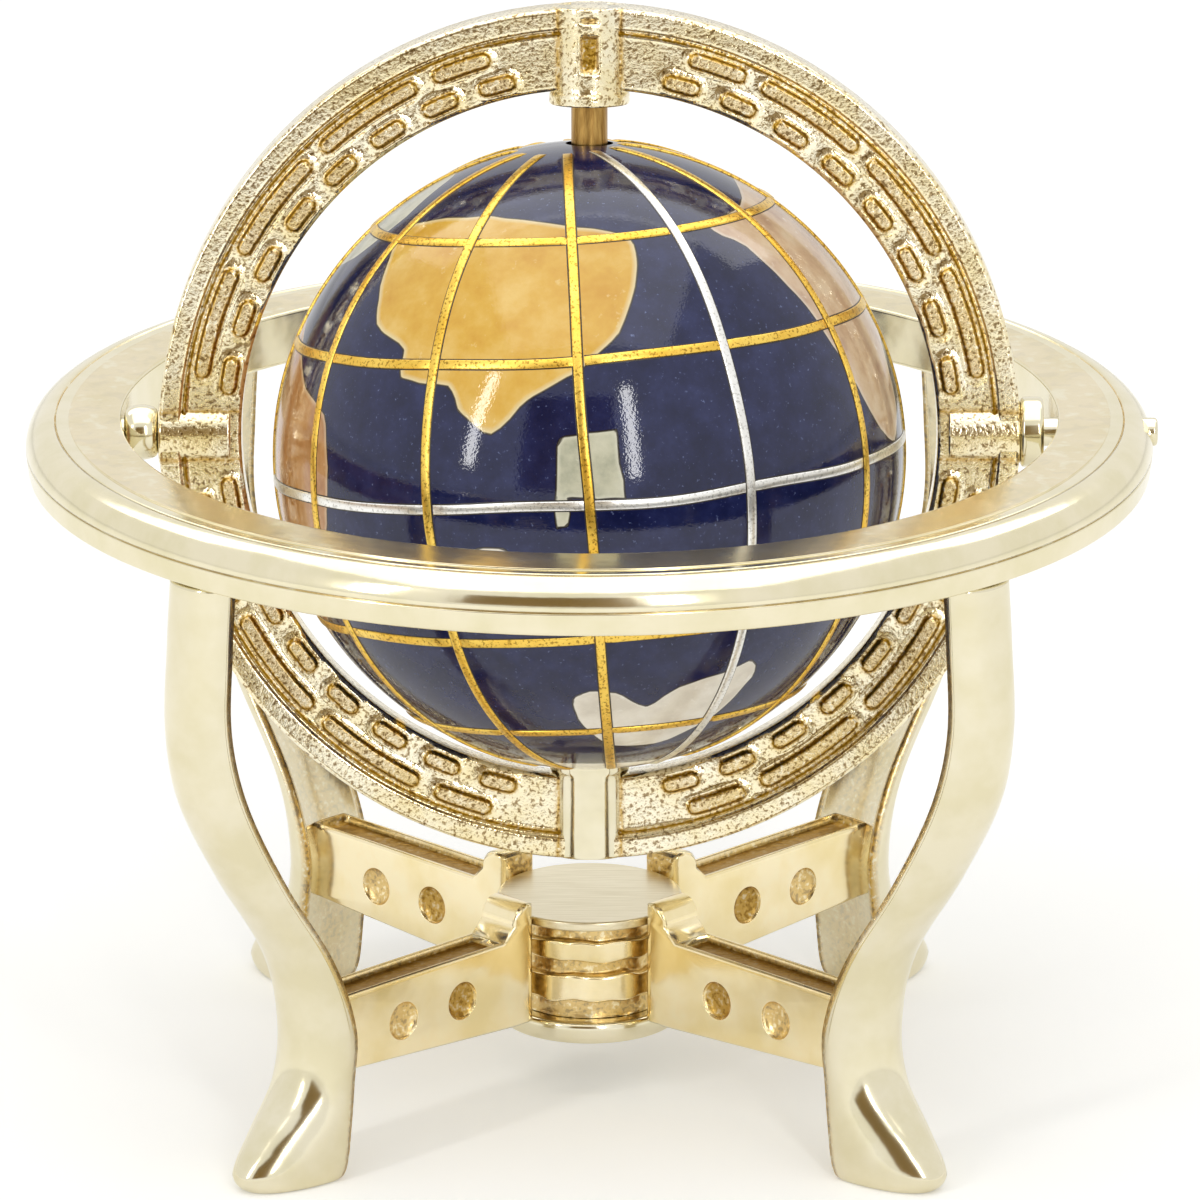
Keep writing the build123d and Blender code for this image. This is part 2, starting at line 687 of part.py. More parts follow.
parallels = {
    "equator_wires": 0,
    "parallel_wires_north_high": high_parallel,
    "parallel_wires_north_low": low_parallel,
    "parallel_wires_south_low": -low_parallel,
    "parallel_wires_south_high": -high_parallel,
}
for name, latitude in parallels.items():
    with BuildPart() as wires:
        parallel_wires(latitude)
    finish(wires, name)

# Skin: the shell that the stone pieces make up
with BuildPart() as skin:
    with BuildSketch(front_plane):
        with BuildLine():
            CenterArc((0, 0), globe_radius, -90, 180)
            CenterArc((0, 0), core_radius, -90, 180)
            Line((0, globe_radius), (0, core_radius))
            Line((0, -globe_radius), (0, -core_radius))
        make_face()
    revolve(axis=polar_axis)
    for turn, radius in ((1, pin_hole_radius), (-1, pole_recess_radius)):
        with BuildSketch(globe_plane):
            Circle(radius)
        extrude(amount=turn * 2 * globe_radius, mode=Mode.SUBTRACT)


def land_block(outline):
    """A tapered block through the skin, whose sides all point at the centre of the ball."""
    directions = [direction_at(longitude, latitude) for longitude, latitude in outline]
    middle = sum(directions, Vector(0, 0, 0)).normalized()
    aside = pole_direction.cross(middle).normalized()
    sections = []
    for distance in (core_radius / 2, globe_radius + skin_thickness):
        plane = Plane(origin=globe_centre + middle * distance, x_dir=aside, z_dir=middle)
        points = []
        for direction in directions:
            reach = distance / direction.dot(middle)
            points.append((direction.dot(aside) * reach, direction.dot(plane.y_dir) * reach))
        with BuildSketch(plane) as section:
            with BuildLine():
                Polyline(points, close=True)
            make_face()
        sections.append(section.sketch)
    loft(sections, ruled=True)


# Land pieces, and the ocean that is left between them
blocks = []
for name, outline in land_outlines.items():
    with BuildPart() as block:
        land_block(outline)
    blocks.append(block.part)
    with BuildPart() as land:
        add(block.part)
        add(skin.part, mode=Mode.INTERSECT)
    finish(land, name)

cap_spread = globe_radius * 2 / sin(radians(polar_cap_latitude))
cap_edge = cap_spread * cos(radians(polar_cap_latitude))
with BuildPart() as cap_block:
    with BuildSketch(front_plane):
        with BuildLine():
            Polyline((0, 0), (cap_edge, -2 * globe_radius), (0, -2 * globe_radius), close=True)
        make_face()
    revolve(axis=polar_axis)
blocks.append(cap_block.part)

with BuildPart() as land_antarctica:
    add(cap_block.part)
    add(skin.part, mode=Mode.INTERSECT)
finish(land_antarctica, "land_antarctica")

with BuildPart() as ocean:
    add(skin.part)
    for block in blocks:
        add(block, mode=Mode.SUBTRACT)
finish(ocean, "ocean")
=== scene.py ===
"""Looks of a miniature desktop globe: a stone-inlaid ball in a gilt gimbal on four scroll legs.

Shapes are built in millimetres in the frame of the CAD model and scaled to metres at the end.
"""

import json
import logging
import math
from dataclasses import dataclass
from enum import Enum
from typing import Callable, Iterable, Sequence

import bmesh
import bpy
import numpy as np
from mathutils import Matrix, Vector
from mathutils.noise import noise as value_noise

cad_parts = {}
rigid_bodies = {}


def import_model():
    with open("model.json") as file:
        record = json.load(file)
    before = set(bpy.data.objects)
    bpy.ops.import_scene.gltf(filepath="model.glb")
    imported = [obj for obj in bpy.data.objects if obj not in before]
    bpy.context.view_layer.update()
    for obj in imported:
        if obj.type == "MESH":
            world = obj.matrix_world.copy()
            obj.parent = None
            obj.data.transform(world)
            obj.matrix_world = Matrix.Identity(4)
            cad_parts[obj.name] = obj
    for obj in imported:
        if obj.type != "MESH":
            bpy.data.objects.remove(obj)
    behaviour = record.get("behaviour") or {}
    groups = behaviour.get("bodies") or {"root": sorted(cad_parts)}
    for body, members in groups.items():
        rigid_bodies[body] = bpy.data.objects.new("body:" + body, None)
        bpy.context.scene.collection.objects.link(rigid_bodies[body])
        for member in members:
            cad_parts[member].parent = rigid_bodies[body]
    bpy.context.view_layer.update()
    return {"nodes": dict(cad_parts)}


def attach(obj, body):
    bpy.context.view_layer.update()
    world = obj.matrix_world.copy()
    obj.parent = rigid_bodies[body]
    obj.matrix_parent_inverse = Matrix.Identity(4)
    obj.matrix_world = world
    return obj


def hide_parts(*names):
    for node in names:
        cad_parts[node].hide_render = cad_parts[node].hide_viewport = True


LOG = logging.getLogger("globe")
PHOTO_PIXELS = 1200
MM = 0.001

# Small lengths in millimetres: play of a pin in its bore, merging of doubles, slicing

FIT = 0.01
MERGE = 1e-4
TINY = 1e-6

# Most of a side that a rounded corner takes, and segments that one spin makes at a time

CORNER_SHARE = 0.45
SECTOR_STEPS = 48

# Sockets of the Map Range node and of a colour Mix node, whose colour sockets share names with others

RANGE_SOCKETS = ("Value", "From Min", "From Max", "To Min", "To Max")
MIX_SOCKETS = (0, 6, 7)
MIX_RESULT = 2

Point2 = tuple[float, float]


class Body(Enum):
    """Rigid bodies of the CAD model."""

    STAND = "stand"
    GIMBAL = "gimbal"
    BALL = "ball"


class Slot(Enum):
    """Material slots of the record."""

    POLISHED_GOLD = "polished_gold"
    CAST_GOLD = "cast_gold"
    BRUSHED_GOLD = "brushed_gold"
    PIN_BRASS = "pin_brass"
    BRASS_WIRE = "brass_wire"
    SILVER_WIRE = "silver_wire"
    CORE_RESIN = "core_resin"
    LAPIS = "lapis_stone"
    HONEY = "honey_stone"
    ORANGE = "orange_stone"
    ROSE = "rose_stone"
    GREEN = "green_stone"
    PEARL = "pearl_stone"


# Shader helpers


def linear(code: str) -> tuple[float, float, float, float]:
    """Turn an sRGB hex colour into linear RGBA.

    Args:
        code: colour such as "#E2CFA6".

    Returns:
        Linear red, green, blue and an alpha of 1.
    """
    parts = [int(code[i : i + 2], 16) / 255 for i in (1, 3, 5)]
    low = [p / 12.92 if p <= 0.04045 else ((p + 0.055) / 1.055) ** 2.4 for p in parts]
    return (low[0], low[1], low[2], 1.0)


def feed(tree: bpy.types.NodeTree, node: bpy.types.Node, inputs: dict) -> None:
    """Fill or link the inputs of a node.

    Args:
        tree: node tree that holds the node.
        node: the node.
        inputs: socket name or index to a value or to another node's output.
    """
    for key, value in inputs.items():
        if isinstance(value, bpy.types.NodeSocket):
            tree.links.new(value, node.inputs[key])
        else:
            node.inputs[key].default_value = value


def add_node(tree: bpy.types.NodeTree, kind: str, inputs: dict | None = None,
             stops: Iterable[tuple[float, str]] = (), **settings: object) -> bpy.types.Node:
    """Add a shader node, set its options and fill or link its inputs.

    Args:
        tree: node tree to add to.
        kind: Blender's node type name.
        inputs: socket name or index to a value or to another node's output.
        stops: places and hex colours of a colour ramp.
        settings: node properties such as operation="ADD".

    Returns:
        The new node.
    """
    node = tree.nodes.new(kind)
    for name, value in settings.items():
        setattr(node, name, value)
    feed(tree, node, inputs or {})
    for index, (place, code) in enumerate(stops):
        elements = node.color_ramp.elements
        stop = elements[index] if index < len(elements) else elements.new(place)
        stop.position = place
        stop.color = linear(code)
    return node


def start_material(name: str) -> tuple[bpy.types.Material, bpy.types.NodeTree, bpy.types.Node]:
    """Make a material with an empty Principled shader.

    Args:
        name: material name.

    Returns:
        The material, its node tree and its Principled node.
    """
    material = bpy.data.materials.new(name)
    material.use_nodes = True
    tree = material.node_tree
    tree.nodes.clear()
    shader = add_node(tree, "ShaderNodeBsdfPrincipled")
    add_node(tree, "ShaderNodeOutputMaterial", {"Surface": shader.outputs[0]})
    return material, tree, shader


# Finishes


@dataclass(frozen=True)
class Gilding:
    """Pale gold electroplate on a zinc casting, lacquered.

    It is a bright metal whose skin waves a little. A vertex attribute holds how much painted shade, and on
    some flats painted reflection, a place gets, mostly in the recesses: there the casting is grainy and
    rougher, and its colour is painted browner as shade, darkest in the deepest corners, with painted dark
    specks and glints on the grain. On an unpolished piece the pits of the same grain are painted brown
    everywhere, as shade in them.
    """

    name: str
    bright: str
    dull: str
    # recess and deep are painted shade colours: of the grain in the recesses and of the deepest corners
    recess: str
    deep: str
    roughness: float
    recess_roughness: float = 0.38
    blotch_mm: float = 3.0
    skin_mm: float = 2.4
    skin_depth_mm: float = 0.025
    grain_mm: float = 0.3
    grain_depth_mm: float = 0.05
    flat_grain: float = 0.0
    # pits: how much painted shade the pits of the grain get on the flats
    pits: float = 0.0
    blotch_stops: Point2 = (0.35, 0.62)
    # Stops of the grain's ramp: painted deep shade, painted shade twice, then a painted glint
    grain_stops: tuple[float, ...] = (0.36, 0.46, 0.56, 0.68)
    pit_range: Point2 = (0.36, 0.47)
    # corner_start and corner_share: from where and how strongly painted deep shade fills the deepest corners
    corner_start: float = 0.88
    corner_share: float = 0.8
    fractal: float = 0.55

    def build(self) -> bpy.types.Material:
        """Make the material.

        Returns:
            The finish.
        """
        material, tree, shader = start_material(self.name)
        place = add_node(tree, "ShaderNodeTexCoord").outputs["Object"]
        painted_darkening = add_node(tree, "ShaderNodeAttribute", attribute_name="painted_darkening").outputs["Fac"]
        blotch, wave, grain = (
            add_node(tree, "ShaderNodeTexNoise", {
                "Vector": place, "Scale": 1 / (size * MM), "Detail": detail,
                "Roughness": self.fractal}).outputs[0]
            for size, detail in ((self.blotch_mm, 4.0), (self.skin_mm, 2.0), (self.grain_mm, 2.0)))
        # The grain's ramp paints dark specks of shade and bright glints
        colour, grainy = (
            add_node(tree, "ShaderNodeValToRGB", {"Fac": pattern}, zip(places, tones)).outputs[0]
            for pattern, places, tones in (
                (blotch, self.blotch_stops, (self.dull, self.bright)),
                (grain, self.grain_stops, (self.deep, self.recess, self.recess, self.bright))))
        pit_shade, corner, relief, rough = (
            add_node(tree, "ShaderNodeMapRange", dict(zip(RANGE_SOCKETS, span))).outputs[0]
            for span in ((grain, *self.pit_range, self.pits, 0.0),
                         (painted_darkening, self.corner_start, 1.0, 0.0, self.corner_share),
                         (painted_darkening, 0.0, 1.0, self.flat_grain, 1.0),
                         (painted_darkening, 0.0, 1.0, self.roughness, self.recess_roughness)))
        # Mix in painted shade: over the pits, over the recesses, and darkest in the deepest corners
        for share, layer in ((pit_shade, grainy), (painted_darkening, grainy), (corner, linear(self.deep))):
            colour = add_node(tree, "ShaderNodeMix", dict(zip(MIX_SOCKETS, (share, colour, layer))),
                              data_type="RGBA").outputs[MIX_RESULT]
        skin = add_node(tree, "ShaderNodeBump", {"Distance": self.skin_depth_mm * MM, "Height": wave})
        bump = add_node(tree, "ShaderNodeBump", {
            "Strength": relief, "Distance": self.grain_depth_mm * MM, "Height": grain,
            "Normal": skin.outputs[0]})
        feed(tree, shader, {"Metallic": 1.0, "Base Color": colour, "Roughness": rough,
                            "Normal": bump.outputs[0]})
        return material


@dataclass(frozen=True)
class BrushedMetal:
    """Plated or drawn metal, which fine lines along one axis streak and dull."""

    name: str
    bright: str
    dull: str
    along: tuple[float, float, float]
    line_mm: float
    depth_mm: float = 0.006
    roughness: float = 0.3
    line_stops: Point2 = (0.3, 0.7)
    fractal: float = 0.6

    def build(self) -> bpy.types.Material:
        """Make the material.

        Returns:
            The finish.
        """
        material, tree, shader = start_material(self.name)
        place = add_node(tree, "ShaderNodeTexCoord").outputs["Object"]
        squeezed = add_node(tree, "ShaderNodeMapping", {"Vector": place, "Scale": self.along})
        lines = add_node(tree, "ShaderNodeTexNoise", {
            "Vector": squeezed.outputs[0], "Scale": 1 / (self.line_mm * MM), "Detail": 4.0,
            "Roughness": self.fractal}).outputs[0]
        colour = add_node(tree, "ShaderNodeValToRGB", {"Fac": lines},
                          zip(self.line_stops, (self.dull, self.bright)))
        bump = add_node(tree, "ShaderNodeBump", {"Distance": self.depth_mm * MM, "Height": lines})
        feed(tree, shader, {"Metallic": 1.0, "Base Color": colour.outputs[0],
                            "Roughness": self.roughness, "Normal": bump.outputs[0]})
        return material


@dataclass(frozen=True)
class Stone:
    """Stone or shell, ground flush, polished and lacquered, with a dark resin joint at its edge.

    It is clouded and flecked, and paler where it thins towards the joint. The lacquer has a faint orange
    peel, which breaks up the lamps' reflections. The attribute "edge" is the distance in millimetres to
    the outline of the piece.
    """

    name: str
    dark: str
    middle: str
    light: str
    grain_mm: float
    fleck: str
    fleck_share: float
    fleck_mm: float
    rim: str
    rim_mm: float = 0.0
    joint: str = "#241C18"
    joint_mm: float = 0.05
    roughness: float = 0.06
    peel_mm: float = 0.15
    peel_depth_mm: float = 0.004
    cloud_stops: tuple[float, ...] = (0.34, 0.5, 0.68)
    fleck_fade: float = 0.05
    fleck_strength: float = 0.85
    rim_start: float = 0.3
    rim_strength: float = 0.75
    joint_fade: Point2 = (0.6, 1.4)
    joint_strength: float = 0.9
    fractal: float = 0.6

    def build(self) -> bpy.types.Material:
        """Make the material.

        Returns:
            The finish.
        """
        material, tree, shader = start_material(self.name)
        place = add_node(tree, "ShaderNodeTexCoord").outputs["Object"]
        edge = add_node(tree, "ShaderNodeAttribute", attribute_name="edge").outputs["Fac"]
        cloud, speck, peel = (
            add_node(tree, "ShaderNodeTexNoise", {
                "Vector": place, "Scale": 1 / (size * MM), "Detail": detail,
                "Roughness": self.fractal}).outputs[0]
            for size, detail in ((self.grain_mm, 6.0), (self.fleck_mm, 3.0), (self.peel_mm, 1.0)))
        colour = add_node(tree, "ShaderNodeValToRGB", {"Fac": cloud},
                          zip(self.cloud_stops, (self.dark, self.middle, self.light))).outputs[0]
        low, high = (1.0 - self.fleck_share + fade for fade in (-self.fleck_fade, self.fleck_fade))
        near, far = (self.joint_mm * share for share in self.joint_fade)
        layers = [((speck, low, high, 0.0, self.fleck_strength), self.fleck)]
        if self.rim_mm:
            inner = self.rim_mm * self.rim_start
            layers.append(((edge, inner, self.rim_mm, self.rim_strength, 0.0), self.rim))
        layers.append(((edge, near, far, self.joint_strength, 0.0), self.joint))
        for span, code in layers:
            share = add_node(tree, "ShaderNodeMapRange", dict(zip(RANGE_SOCKETS, span))).outputs[0]
            colour = add_node(tree, "ShaderNodeMix", dict(zip(MIX_SOCKETS, (share, colour, linear(code)))),
                              data_type="RGBA").outputs[MIX_RESULT]
        bump = add_node(tree, "ShaderNodeBump", {"Distance": self.peel_depth_mm * MM, "Height": peel})
        feed(tree, shader, {"Base Color": colour, "Roughness": self.roughness, "Normal": bump.outputs[0]})
        return material


@dataclass(frozen=True)
class Plain:
    """Cast resin, glue, brown paper or turned steel, small or hidden: one even colour, dull or bright."""

    name: str
    colour: str
    roughness: float
    metallic: float = 0.0

    def build(self) -> bpy.types.Material:
        """Make the material.

        Returns:
            The finish.
        """
        material, tree, shader = start_material(self.name)
        feed(tree, shader, {"Base Color": linear(self.colour), "Roughness": self.roughness,
                            "Metallic": self.metallic})
        return material


class Finishes:
    """All finishes of the object, each made once."""

    def __init__(self) -> None:
        """Make the finishes: gilding, brushed and plain metal, resin and stones."""
        # Painted shade colours for the recesses of the polished and the cast gold
        shaded_recess_tones = {"recess": "#C69C36", "deep": "#76540E"}
        drawn = {"roughness": 0.3, "skin_mm": 0.6, "skin_depth_mm": 0.01, "grain_mm": 0.16}
        self.polished = Gilding("polished_gold", "#E5DDC3", "#DDD4B3", **shaded_recess_tones, roughness=0.14,
                                grain_depth_mm=0.03).build()
        # The turned gold's recess and deep colours are the painted shade in the horizon ring's lines and the
        # painted reflection on its flat top
        self.turned = Gilding("turned_gold", "#E8DFC2", "#E0D7B4", "#CDA850", "#A8822E", roughness=0.14,
                              grain_mm=1.2, grain_depth_mm=0.0).build()
        # The bars' and the spool's own gold, painted yellower and brighter as the light that bounces between
        # them; its recess colours are painted shade
        self.bar = Gilding("bar_gold_painted_bounce", "#F4E6C0", "#ECDAA6", "#D2AC58", "#8E6A26", roughness=0.18).build()
        # The cast gold's pits are painted brown everywhere, as shade in them
        self.cast = Gilding("cast_gold", "#F8F0D6", "#F0E1B4", **shaded_recess_tones, roughness=0.18, skin_mm=1.2,
                            skin_depth_mm=0.03, grain_mm=0.2, grain_depth_mm=0.045, flat_grain=0.5,
                            pits=0.8).build()
        # The brass and silver wires' pits are painted darker, as shade in them
        self.wire = Gilding("brass_wire", "#F6D266", "#E6B848", "#C48E2C", "#70490F", **drawn,
                            grain_depth_mm=0.014, flat_grain=0.6, pits=0.7).build()
        self.silver = Gilding("silver_wire", "#F8F7F3", "#EAE8E2", "#B4B0A6", "#7C786E", **drawn,
                              grain_depth_mm=0.01, flat_grain=0.4, pits=0.4).build()
        self.brushed = BrushedMetal("brushed_gold", "#EEE4C8", "#DACEAC", (0.05, 1.0, 1.0), 0.14).build()
        self.pin = BrushedMetal("pin_brass", "#C6A05C", "#866230", (1.0, 1.0, 0.05), 0.2).build()
        self.steel = Plain("screw_steel", "#A8A8A6", 0.35, 1.0).build()
        self.resin = Plain("core_resin", "#4A4440", 0.6).build()
        self.glue = Plain("wire_glue", "#241A10", 0.35).build()
        stones = {
            Slot.LAPIS: Stone("lapis", "#11163A", "#1A1F46", "#262C56", 1.6, "#6A76A0", 0.3, 0.2, "#191F48"),
            Slot.HONEY: Stone("honey", "#CE9930", "#D8AA42", "#E2BC66", 2.6, "#E8CC88", 0.3, 0.6,
                              "#E2D4AA", 0.34),
            Slot.ORANGE: Stone("orange", "#A8703C", "#BE8A56", "#CE9F70", 2.2, "#DDB68C", 0.3, 0.6,
                               "#D9BC98", 0.3),
            Slot.ROSE: Stone("rose", "#BC9A7E", "#D2B493", "#DEC7A8", 2.2, "#E6D4BC", 0.3, 0.6,
                             "#E0D2C0", 0.3),
            Slot.GREEN: Stone("green", "#AEAE98", "#C6C4AC", "#D4D1BA", 1.6, "#DEDCC8", 0.3, 0.5,
                              "#D6D3BE", 0.25),
            Slot.PEARL: Stone("pearl", "#DAD1C0", "#E9E1D1", "#F3EDE0", 2.4, "#F8F3E9", 0.35, 0.8,
                              "#EAE4D6", 0.25),
        }
        self.stones = {slot: stone.build() for slot, stone in stones.items()}


# Geometry helpers


def weighted_normals(mesh: bpy.types.Mesh) -> None:
    """Give a mesh normals weighted by face area, so that flats stay flat beside small rounds.

    Args:
        mesh: mesh to change.
    """
    normals = np.zeros((len(mesh.vertices), 3))
    for face in mesh.polygons:
        normals[list(face.vertices)] += np.array(face.normal) * face.area
    lengths = np.linalg.norm(normals, axis=1)
    lengths[lengths == 0] = 1.0
    mesh.normals_split_custom_set_from_vertices((normals / lengths[:, None]).tolist())


def make_object(name: str, shape: bmesh.types.BMesh, material: bpy.types.Material) -> bpy.types.Object:
    """Scale a shape to metres and make a smooth-shaded object of it.

    Args:
        name: object name.
        shape: shape in millimetres; freed here.
        material: its finish.

    Returns:
        The new object, linked to the scene.
    """
    bmesh.ops.scale(shape, vec=(MM, MM, MM), verts=shape.verts)
    mesh = bpy.data.meshes.new(name)
    shape.to_mesh(mesh)
    shape.free()
    for face in mesh.polygons:
        face.use_smooth = True
    mesh.materials.append(material)
    piece = bpy.data.objects.new(name, mesh)
    bpy.context.scene.collection.objects.link(piece)
    return piece


def add_piece(name: str, shape: bmesh.types.BMesh, material: bpy.types.Material, body: Body, slot: Slot,
              *nodes: str, normals: Callable[[bpy.types.Mesh], None] | None = weighted_normals) -> None:
    """Make a piece, put it on its CAD body and hide the CAD nodes that it stands for.

    Args:
        name: name of the piece.
        shape: shape in millimetres; freed here.
        material: its finish.
        body: rigid body that it rides on.
        slot: material slot; not used.
        nodes: CAD nodes that it replaces.
        normals: sets the mesh's normals; None leaves them.
    """
    piece = make_object(name, shape, material)
    if normals:
        normals(piece.data)
    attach(piece, body.value)
    if nodes:
        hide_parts(*nodes)
    LOG.info("%s: %d faces on %s", piece.name, len(piece.data.polygons), body.value)


def everything(shape: bmesh.types.BMesh) -> list:
    """All vertices, edges and faces of a shape."""
    return shape.verts[:] + shape.edges[:] + shape.faces[:]


def only_verts(items: Iterable[object]) -> list[bmesh.types.BMVert]:
    """The vertices among the results of an operator."""
    return [item for item in items if isinstance(item, bmesh.types.BMVert)]


def soften(points: Sequence[Point2], radius: float, segments: int = 4, closed: bool = False) -> list[Point2]:
    """Round the corners of a polyline.

    Args:
        points: corners in order.
        radius: cut-back from each corner, limited by the shorter side.
        segments: points per corner, less one.
        closed: whether the last point joins the first.

    Returns:
        The rounded polyline.
    """
    count = len(points)
    result: list[Point2] = []
    for i, corner in enumerate(points):
        if not closed and i in (0, count - 1):
            result.append(corner)
            continue
        here = Vector(corner)
        before = Vector(points[i - 1]) - here
        after = Vector(points[(i + 1) % count]) - here
        cut = min(radius, CORNER_SHARE * before.length, CORNER_SHARE * after.length)
        start = here + before.normalized() * cut
        stop = here + after.normalized() * cut
        for step in range(segments + 1):
            t = step / segments
            spot = start * (1 - t) ** 2 + here * 2 * t * (1 - t) + stop * t ** 2
            result.append((spot.x, spot.y))
    return result


def turned(profile: Sequence[Point2], steps: int, closed: bool = True) -> bmesh.types.BMesh:
    """Spin a profile of (radius, height) about Z, a sector at a time, because a long spin is slow.

    Args:
        profile: points in order.
        steps: segments round the axis.
        closed: whether the profile is a closed loop.

    Returns:
        The turned shape.
    """
    shape = bmesh.new()
    verts = [shape.verts.new((r, 0.0, z)) for r, z in profile]
    pairs = zip(verts, verts[1:] + verts[:1]) if closed else zip(verts, verts[1:])
    edges = [shape.edges.new(pair) for pair in pairs]
    sectors = max(1, steps // SECTOR_STEPS)
    bmesh.ops.spin(
        shape, geom=verts + edges, cent=(0, 0, 0), axis=(0, 0, 1), angle=math.tau / sectors,
        steps=steps // sectors, use_merge=sectors == 1, use_duplicate=False,
    )
    sector = everything(shape)
    for number in range(1, sectors):
        copy = bmesh.ops.duplicate(shape, geom=sector)["geom"]
        bmesh.ops.rotate(
            shape, cent=(0, 0, 0), matrix=Matrix.Rotation(math.tau * number / sectors, 3, "Z"),
            verts=only_verts(copy),
        )
    bmesh.ops.remove_doubles(shape, verts=shape.verts, dist=MERGE)
    bmesh.ops.recalc_face_normals(shape, faces=shape.faces)
    return shape


def joined(shapes: Iterable[bmesh.types.BMesh]) -> bmesh.types.BMesh:
    """Put several shapes into one.

    Args:
        shapes: shapes in the same frame; freed here.

    Returns:
        The whole.
    """
    whole = bmesh.new()
    for shape in shapes:
        mesh = bpy.data.meshes.new("part_of_piece")
        shape.to_mesh(mesh)
        shape.free()
        whole.from_mesh(mesh)
        bpy.data.meshes.remove(mesh)
    return whole


def moved(shape: bmesh.types.BMesh, matrix: Matrix) -> bmesh.types.BMesh:
    """Transform a shape.

    Args:
        shape: shape to change.
        matrix: its move.

    Returns:
        The same shape.
    """
    bmesh.ops.transform(shape, matrix=matrix, verts=shape.verts)
    if matrix.determinant() < 0:
        bmesh.ops.reverse_faces(shape, faces=shape.faces)
    return shape


def paint_darkening(shape: bmesh.types.BMesh, rule: Callable[[Vector], float]) -> None:
    """Raise a shape's attribute of painted darkening, which paints shade and reflection, where a rule asks
    for it.

    Args:
        shape: shape to mark.
        rule: gives the value for the place of a vertex.
    """
    layer = shape.verts.layers.float.get("painted_darkening") or shape.verts.layers.float.new("painted_darkening")
    for vert in shape.verts:
        vert[layer] = max(vert[layer], rule(vert.co))


def ease(values: np.ndarray | float) -> np.ndarray | float:
    """Ease from 0 to 1 over the unit range."""
    t = np.clip(values, 0.0, 1.0)
    return t * t * (3 - 2 * t)


def curve_through(stations: Sequence[Sequence[float]], at: float) -> list[float]:
    """Interpolate rows of numbers by their first value with a smooth cubic.

    Args:
        stations: rows in order of their first value.
        at: first value to interpolate at.

    Returns:
        The other values of the row there.
    """
    keys = [row[0] for row in stations]
    index = max(0, min(len(keys) - 2, sum(k <= at for k in keys) - 1))
    span = keys[index + 1] - keys[index]
    t = (at - keys[index]) / span
    share = ease(t)

    def slope(i: int, column: int) -> float:
        """Slope of a column at a row, from the rows beside it."""
        low, high = max(0, i - 1), min(len(keys) - 1, i + 1)
        return (stations[high][column] - stations[low][column]) / (keys[high] - keys[low])

    values = []
    for column in range(1, len(stations[0])):
        a, b = stations[index][column], stations[index + 1][column]
        m, n = slope(index, column) * span, slope(index + 1, column) * span
        values.append(a * (1 - share) + b * share + m * t * (1 - t) ** 2 - n * t * t * (1 - t))
    return values


def frame_matrix(origin: Vector, x_dir: Vector, z_dir: Vector) -> Matrix:
    """Matrix that takes local coordinates to the object's frame.

    Args:
        origin: place of the local origin.
        x_dir: direction of the local X axis.
        z_dir: direction of the local Z axis.

    Returns:
        The matrix.
    """
    x_axis, z_axis = x_dir.normalized(), z_dir.normalized()
    y_axis = z_axis.cross(x_axis)
    matrix = Matrix((x_axis, y_axis, z_axis)).transposed().to_4x4()
    matrix.translation = origin
    return matrix


# Layout of the gimbal and the legs, shared with the CAD model

GIMBAL_HEIGHT = 35.8
LEAN = math.radians(8.0)
RIGHT = Vector((1, 0, 0))
POLE = Vector((0, math.sin(LEAN), math.cos(LEAN)))
FRONT = Vector((0, -math.cos(LEAN), math.sin(LEAN)))
GIMBAL_CENTRE = Vector((0, 0, GIMBAL_HEIGHT))
RING_FRAME = frame_matrix(GIMBAL_CENTRE, RIGHT, FRONT)
POLAR_FRAME = frame_matrix(GIMBAL_CENTRE, RIGHT, POLE)
TRUNNION_FRAME = frame_matrix(GIMBAL_CENTRE, Vector((0, 1, 0)), RIGHT)
LEG_ANGLES = {"front_left": 225, "front_right": 315, "rear_left": 135, "rear_right": 45}


# Land pieces: stone and corners as longitude and latitude, with longitude 0 at the front

LANDS: dict[str, tuple[Slot, tuple[Point2, ...]]] = {
    "land_asia": (Slot.HONEY, (
        (-63, 51), (-34, 56), (-10, 55), (11, 52), (12, 43), (6, 31), (-2, 24), (-11, 19), (-18, 12),
        (-25, 16), (-28, 20), (-39, 21), (-40, 26), (-50, 30), (-57, 40))),
    "land_europe": (Slot.GREEN, (
        (-76, 42), (-70, 52), (-78, 63), (-95, 66), (-112, 58), (-118, 44), (-108, 38), (-96, 44),
        (-86, 38))),
    "land_africa": (Slot.ORANGE, (
        (-58, 12), (-55, 3), (-56, -8), (-64, -22), (-76, -34), (-86, -30), (-92, -12), (-100, 2),
        (-116, 6), (-119, 18), (-105, 30), (-84, 26), (-68, 16))),
    "land_north_america": (Slot.ROSE, (
        (38, 53), (46, 47), (53, 35), (56, 28), (61, 17), (67, 8), (75, 5), (80, 10), (84, 22), (98, 26),
        (106, 38), (112, 50), (104, 60), (84, 63), (60, 57))),
    "land_south_america": (Slot.GREEN, (
        (96, 4), (108, -2), (124, -8), (128, -18), (118, -32), (108, -52), (102, -50), (100, -30),
        (92, -12), (90, -2))),
    "land_greenland": (Slot.PEARL, ((128, 60), (138, 60), (150, 68), (140, 75), (122, 73))),
    "land_oceania": (Slot.PEARL, (
        (-4, -41), (0, -38.5), (6, -39), (14, -43), (21, -38), (31, -35), (37, -33), (40, -37), (35, -49),
        (23, -57), (7, -57), (-2, -49))),
    "land_malay_islands": (Slot.GREEN, (
        (-6, 9), (-5.6, 11.2), (-4.4, 12.2), (3.8, 13.6), (4.8, 12.8), (6.4, 2), (6.1, 1.3), (-3, 1.3),
        (-3.5, 0.7), (-3.6, -3.4), (-4.2, -4.1), (-5.6, -4.1), (-6.1, -3.4))),
    "land_timor_islands": (Slot.PEARL, ((-22, -9), (-16, -8), (-13, -12), (-16, -20), (-22, -18))),
}


